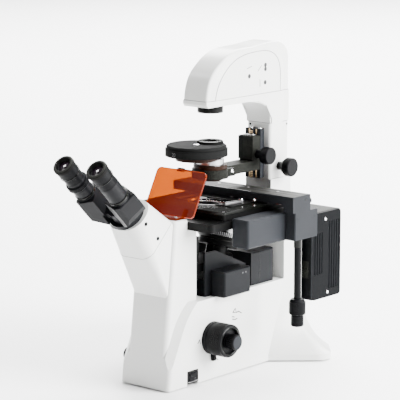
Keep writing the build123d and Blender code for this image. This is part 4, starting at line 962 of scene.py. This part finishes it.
nose_tilt = radians(18.0)
nose_up = Vector((0, sin(nose_tilt), cos(nose_tilt)))
nose_out = Vector((0, cos(nose_tilt), -sin(nose_tilt)))
nose_reach = 28
nose_middle = Vector((0, optic_y, 238)) + nose_out * nose_reach
nose_seat = seat(tuple(nose_middle), nose_up, x_axis)
places = 5
knob_ribs(
    "nose_grip", "turret", "steel", nose_seat @ Matrix.Translation(mm(0, 0, -7.2)), 72, 38.4, 6.5, 1.9, 1.0
)
lathe(
    "nose_index_ring", "turret", "gloss", nose_seat,
    (32.6, -17.6), (33.3, -17.2), (33.5, -15.8), (33.3, -14.4), (32.6, -14.0), steps=80,
)
for place, (length, band) in enumerate(((37.0, "yellow"), (38.5, "green"), (28.0, "red"), (34.0, "blue"))):
    out = Matrix.Rotation(radians(place * 360.0 / places), 3, nose_up) @ nose_out
    direction = nose_up * cos(nose_tilt) - out * sin(nose_tilt)
    where = seat(tuple(nose_middle - out * nose_reach), direction, x_axis)
    lathe(
        "objective_sleeve_%d" % place, "turret", "steel", where, (11.9, 0.4), (12.3, 0.8), (12.3, 3.4),
        (11.9, 3.8), (11.9, 9.0), (12.25, 9.3), (12.25, 12.4), (11.9, 12.7), (11.8, 12.7), (11.8, 0.4),
    )
    lathe(
        "objective_band_%d" % place, "turret", band + "_band", where,
        (12.0, length * 0.46), (12.15, length * 0.47), (12.15, length * 0.51), (12.0, length * 0.52),
        (11.8, length * 0.52), (11.8, length * 0.46),
    )
    lathe(
        "objective_lens_%d" % place, "turret", "lens", where,
        (0, length + 0.02), (3.6, length + 0.02), (3.6, length - 0.4), (0, length - 0.4), steps=32,
    )
    knob_ribs(
        "objective_ribs_%d" % place, "turret", "steel", where @ Matrix.Translation(mm(0, 0, 6.4)),
        48, 11.95, 4.4, 0.8, 0.5,
    )


# Fluorescence unit

epi_seam = [(45.1, 138), (45.1, 190.5), (43.4, 192.1), (-33.4, 192.1), (-35.1, 190), (-35.1, 138)]
wire("epi_seam", "stand", "dark_line", 0.35, [(x, 102, z) for x, z in epi_seam])
screw("epi_screw", "stand", "gloss", "epi_housing", (80, 102, 155), left, 1.6, 0.8)
boxes(
    "side_baffle", "stand", "anodised", seat((-44.5, 0, 0), x_axis, y_axis),
    ((48, 90), (182, 214), (-0.8, 0.8)), ((76, 90), (182, 191), (0.8, 9.4)),
)
boxes(
    "slider_face", "filter", "slate", seat((70.0, 13.2, 158.6), x_axis, y_axis),
    ((-31.2, 31.4), (-19.6, 19.4), (-0.2, 0.25)), bevel=0.2,
)
lathe(
    "slider_dots", "filter", "grey_line", [seat((70.2, y, 172.0), x_axis, y_axis) for y in (26, 34)],
    (0, 0), (1.4, 0), (1.4, 0.15), (0, 0.15), steps=20, sharp=None,
)

# The vanes are in a paler anodised than the black lamp house: a painted highlight along each vane
# Each side's louvres: the first vane's place, their number, and their lowest and highest points
louvres = ((223.1, 4, 133.5, 205.5), (263.7, 5, 104.5, 222.5))
for side, hand in sides:
    outwards = (side, 0, 0)
    for group, (start, count, low, high) in enumerate(louvres):
        where = seat((side * lamp_side, start, (low + high) / 2), outwards, y_axis)
        bar_row(
            "louvre_vanes_%s_%d" % (hand, group), "stand", "cool_anodised", where,
            count, 6.6667, (0.7, high - low, 3.4), side * 0.62,
        )
    cover_screws = [seat((side * 70.0, y, z), outwards, y_axis) for y, z in ((251.0, 227.5), (258.3, 99.1))]
    lathe(
        "cover_screws_" + hand, "stand", "chrome", cover_screws,
        (0, 1.5), (1.4, 1.4), (2.6, 0.9), (3.0, 0.2), (3.0, -0.2), (0, -0.2), steps=32, sharp=50,
    )
    # Paler strip up each lamp cover's front corner: a painted highlight on the rounded corner
    where = seat((side * lamp_side, lamp_front, 0), front, x_axis)
    boxes(
        "cover_edge_highlight_" + hand, "stand", "cool_anodised", where,
        ((-1.3, 1.3), (93, 236), (0, 0.5)), bevel=0.2,
    )
perforated.make(
    "lamp_mesh", level(0, 255, 239.95), "stand", "grille",
    Across=25, Along=14, Pitch=5.2, Hole=1.7, Thickness=0.8,
)
screw_row(
    "front_plate_screws", "stand", "chrome", seat((51.0, lamp_front - 0.1, 144.5), front, x_axis),
    1.5, 0.6, 0.8, 2, 6.4,
)
boxes(
    "lamp_front_label_plate", "stand", "crinkle", seat((0, lamp_front, 0), front, x_axis),
    ((-62, 62), (128, 158), (0, 0.4)), bevel=0.2,
)
screw_row(
    "lamp_back_screws", "stand", "steel", seat((-58, 295.0, 232), y_axis, x_axis), 2.6, 1.0, 1.4, 2, 116.0
)


# Column and lamp head

wire("head_seam", "column", "grey_line", 0.42, rim_of("head_upper", (0, 0, 452), z_axis), closed=True)
wire("column_seam", "column", "grey_line", 0.42, rim_of("column", (0, 0, 399), z_axis), closed=True)
centring_holes = ((94.9, 484.0), (137.5, 498.8), (137.5, 492.2), (136.9, 470.0))
centring_marks = (
    ((89.0, 497.0), (101.0, 499.8)), ((117.5, 490.3), (127.0, 499.0)), ((123.0, 476.0), (123.1, 464.0)),
)
for side, hand in sides:
    # Grey line round each raised side panel of the head: painted shade on the panel's sloped border
    panel = rim_of("head_upper", (side * head_side, 0, 0), x_axis, proud=0.0)
    wire("panel_shade_line_" + hand, "column", "shade_line", 0.7, panel, closed=True)
    # Dark discs on the centring holes: painted shade inside the holes
    lathe(
        "centring_holes_" + hand, "column", "dark_line",
        [seat((side * head_side, y, z), (side, 0, 0), y_axis) for y, z in centring_holes],
        (0, 0.12), (3.6, 0.12), (3.8, 0), (0, 0), steps=32, sharp=None,
    )
    lines = [[(side * (head_side + 0.05), y, z) for y, z in mark] for mark in centring_marks]
    wire("centring_marks_" + hand, "column", "dark_line", 0.5, *lines)
    screw(
        "column_screw_" + hand, "column", "plastic",
        "column", (side * 80, 198.6, 393.6), (-side, 0, 0), 1.8, 0.8,
    )
screw("column_screw_front", "column", "plastic", "column", (-17.8, 100, 394.6), y_axis, 1.8, 0.8)
knob_ribs("clamp_ribs", "clamp", "plastic", seat((48.6, 178, 324.5), x_axis, y_axis), 56, 15.4, 9.0, 1.0, 0.6)
lathe(
    "collector_ring", "column", "gloss", level(0, optic_y, 430), (18.2, 0.1), (18.6, -0.3), (20.6, -0.3),
    (21.1, 0.3), (21.1, 2.2), (20.9, 2.4), (18.2, 2.4), steps=72,
)
lathe(
    "collector_lens", "column", "glass", seat((0, optic_y, 434), down, x_axis),
    (0, 1.8), (6, 1.6), (12, 0.9), (17.6, -0.1), (17.6, -0.3), (0, -0.3), steps=56, sharp=60,
)


# Condenser

turret_axis = (-6.7, 0.0)
cover_top = 378.8
knob_ribs("turret_ribs", "phase", "anodised", level(*turret_axis, 362.6), 120, 50.9, 2.2, 1.3, 0.5)
lathe(
    "turret_cap", "condenser", "chrome", level(*turret_axis, cover_top),
    (0, 1.0), (4.2, 0.9), (5.4, 0.6), (5.8, 0), (0, 0), steps=48, sharp=60,
)
lathe(
    "collar_rings", "condenser", "gloss", level(0, optic_y, cover_top), (11.2, 3.2), (12.2, 4.2), (16.4, 4.4),
    (16.9, 3.6), (18.6, 3.6), (19.0, 4.4), (20.4, 4.2), (21.0, 3.4), (20.8, 3.2), steps=80,
)
collar_radius = 14.4
for number in range(3):
    c, s = cos(radians(number * 120 + 20)), sin(radians(number * 120 + 20))
    where = level(collar_radius * c, optic_y + collar_radius * s, 383.3)
    screw_row("collar_screw_%d" % number, "condenser", "gloss", where, 1.3, 0.8, 0.7)
lathe(
    "condenser_lens", "condenser", "lens", level(0, optic_y, 378.2),
    (0, 2.0), (4, 1.8), (8, 1.1), (10.8, 0), (0, 0), steps=48, sharp=60,
)
knob_ribs("silver_ribs", "aperture", "steel", level(0, optic_y, 348.8), 40, 22.6, 6.4, 1.8, 0.5)
lathe(
    "barrel_rings", "condenser", "brown", [level(0, optic_y, low) for low in (338.2, 341.4)],
    (27.3, 0), (27.75, 0.3), (27.75, 1.3), (27.3, 1.6), steps=72,
)
knob_ribs(
    "centring_knob_ribs", "condenser", "brown", seat((-62.5, optic_y, 327.5), left, y_axis),
    18, 3.2, 11.0, 0.6, 0.4,
)
lathe(
    "lug_screw", "condenser", "chrome", seat((24.0, 54.0, 331.0), x_axis, y_axis),
    (0, 1.6), (2.8, 1.5), (3.6, 0.9), (3.8, 0), (0, 0), steps=32, sharp=60,
)
rack = seat((0, 134.98, 308.2), front, z_axis)
bar_row("focus_rack_teeth", "column", "brass", rack, 27, 3.0, (1.5, 5.6, 0.12))
lathe(
    "rail_stop_screws", "column", "chrome", [level(x, 146.0, 390.0) for x in (-9.5, 9.5)],
    (0, 1.9), (2.0, 1.8), (3.0, 1.2), (3.3, 0), (0, 0), steps=28, sharp=60,
)
guide_y, guide_z = (138.85, 139.05), (307.5, 389.5)
boxes(
    "rack_guides", "column", "brass", level(0, 0, 0),
    ((-8.5, -5.5), guide_y, guide_z), ((5.5, 8.5), guide_y, guide_z), bevel=0.0,
)
boxes(
    "carriage_top_plate", "condenser", "steel", level(0, 131, 380), ((-9, 9), (-4, 4), (0, 1.2)), bevel=0.4
)
screw_row("carriage_screws", "condenser", "chrome", level(-6, 131, 381.6), 2.2, 1.0, 1.2, 2, 12.0)
knob_ribs(
    "condenser_knob_ribs", "condenser_drive", "plastic", seat((37.8, 131.6, 348.6), x_axis, y_axis),
    52, 14.2, 9.0, 0.9, 0.5,
)


def rim_number(name, text, turn):
    """Printed number wrapped round the turret's rim at an angle."""
    data = bpy.data.curves.new(name, "FONT")
    data.body = text
    data.size = 8.5 * MM
    data.extrude = 0.05 * MM
    data.align_x = "CENTER"
    guide = bpy.data.objects.new(name, data)
    bpy.context.scene.collection.objects.link(guide)
    mesh = plain_mesh(guide)
    radius, foot = 51.05 * MM, 364.3 * MM
    for vertex in mesh.vertices:
        along, up, out = vertex.co
        angle = radians(turn) + along / radius
        reach = radius + out
        x, y = turret_axis[0] * MM + reach * cos(angle), turret_axis[1] * MM + reach * sin(angle)
        vertex.co = (x, y, foot + up)
    piece(name, mesh, "phase", "grey_line")


rim_number("turret_number_low", "10", -131.0)
rim_number("turret_number_high", "20", -96.0)


# Studio


def studio_floor():
    """Wide pale floor."""
    bpy.ops.mesh.primitive_plane_add(size=20.0, location=(0, 0, -0.0002))
    floor = bpy.context.object
    floor.name = "floor"
    finish = Finish("paper_floor", ior=1.4)
    cloud = finish.noise(1.5, 2.0)
    finish.set("Base Color", finish.between(cloud, (0.93, 0.93, 0.93), (0.96, 0.96, 0.96)))
    finish.set("Roughness", 0.7 + cloud * 0.1)
    floor.data.materials.append(finish.material)


def soft_light(name, place, aim, size, power):
    """Soft box turned towards a point, in metres and watts."""
    data = bpy.data.lights.new(name, "AREA")
    data.shape = "RECTANGLE"
    data.size, data.size_y = size
    data.energy = power
    lamp = bpy.data.objects.new(name, data)
    lamp.location = place
    lamp.rotation_euler = (Vector(aim) - Vector(place)).to_track_quat("-Z", "Y").to_euler()
    lamp.visible_camera = False
    bpy.context.scene.collection.objects.link(lamp)


def photo_camera():
    """Long lens at the photograph's angle."""
    data = bpy.data.cameras.new("photo_camera")
    data.sensor_width = 36.0
    data.lens = 189.0
    camera = bpy.data.objects.new("photo_camera", data)
    camera.location = mm(2166.6, -2581.0, 912.3)
    aim = mm(-45.5, 55.3, 274.5)
    camera.rotation_euler = (aim - camera.location).to_track_quat("-Z", "Y").to_euler()
    bpy.context.scene.collection.objects.link(camera)
    bpy.context.scene.camera = camera


def studio_world(strength):
    """Even white surroundings."""
    world = bpy.data.worlds.new("studio")
    world.use_nodes = True
    background = world.node_tree.nodes["Background"].inputs
    background["Color"].default_value = (1.0, 1.0, 1.0, 1.0)
    background["Strength"].default_value = strength
    bpy.context.scene.world = world


studio_floor()
photo_camera()
soft_light("right_box", (2.7, 1.0, 1.5), (0, 0, 0.25), (2.2, 2.0), 600.0)
soft_light("back_box", (-2.6, 4.2, 3.4), (-2.2, 3.6, 0.0), (5.0, 4.0), 1500.0)
soft_light("near_back_box", (-0.5, 1.8, 2.6), (-0.5, 1.0, 0.0), (2.4, 2.0), 200.0)
soft_light("front_box", (-1.6, -2.4, 1.9), (0, 0, 0.25), (1.4, 1.4), 12.0)
soft_light("lens_box", (-1.6, -0.75, 2.25), (0, -0.2, 0.35), (0.5, 0.5), 16.0)
soft_light("top_box", (0.3, 0.3, 2.4), (0, 0, 0.2), (2.0, 2.0), 60.0)
studio_world(0.22)
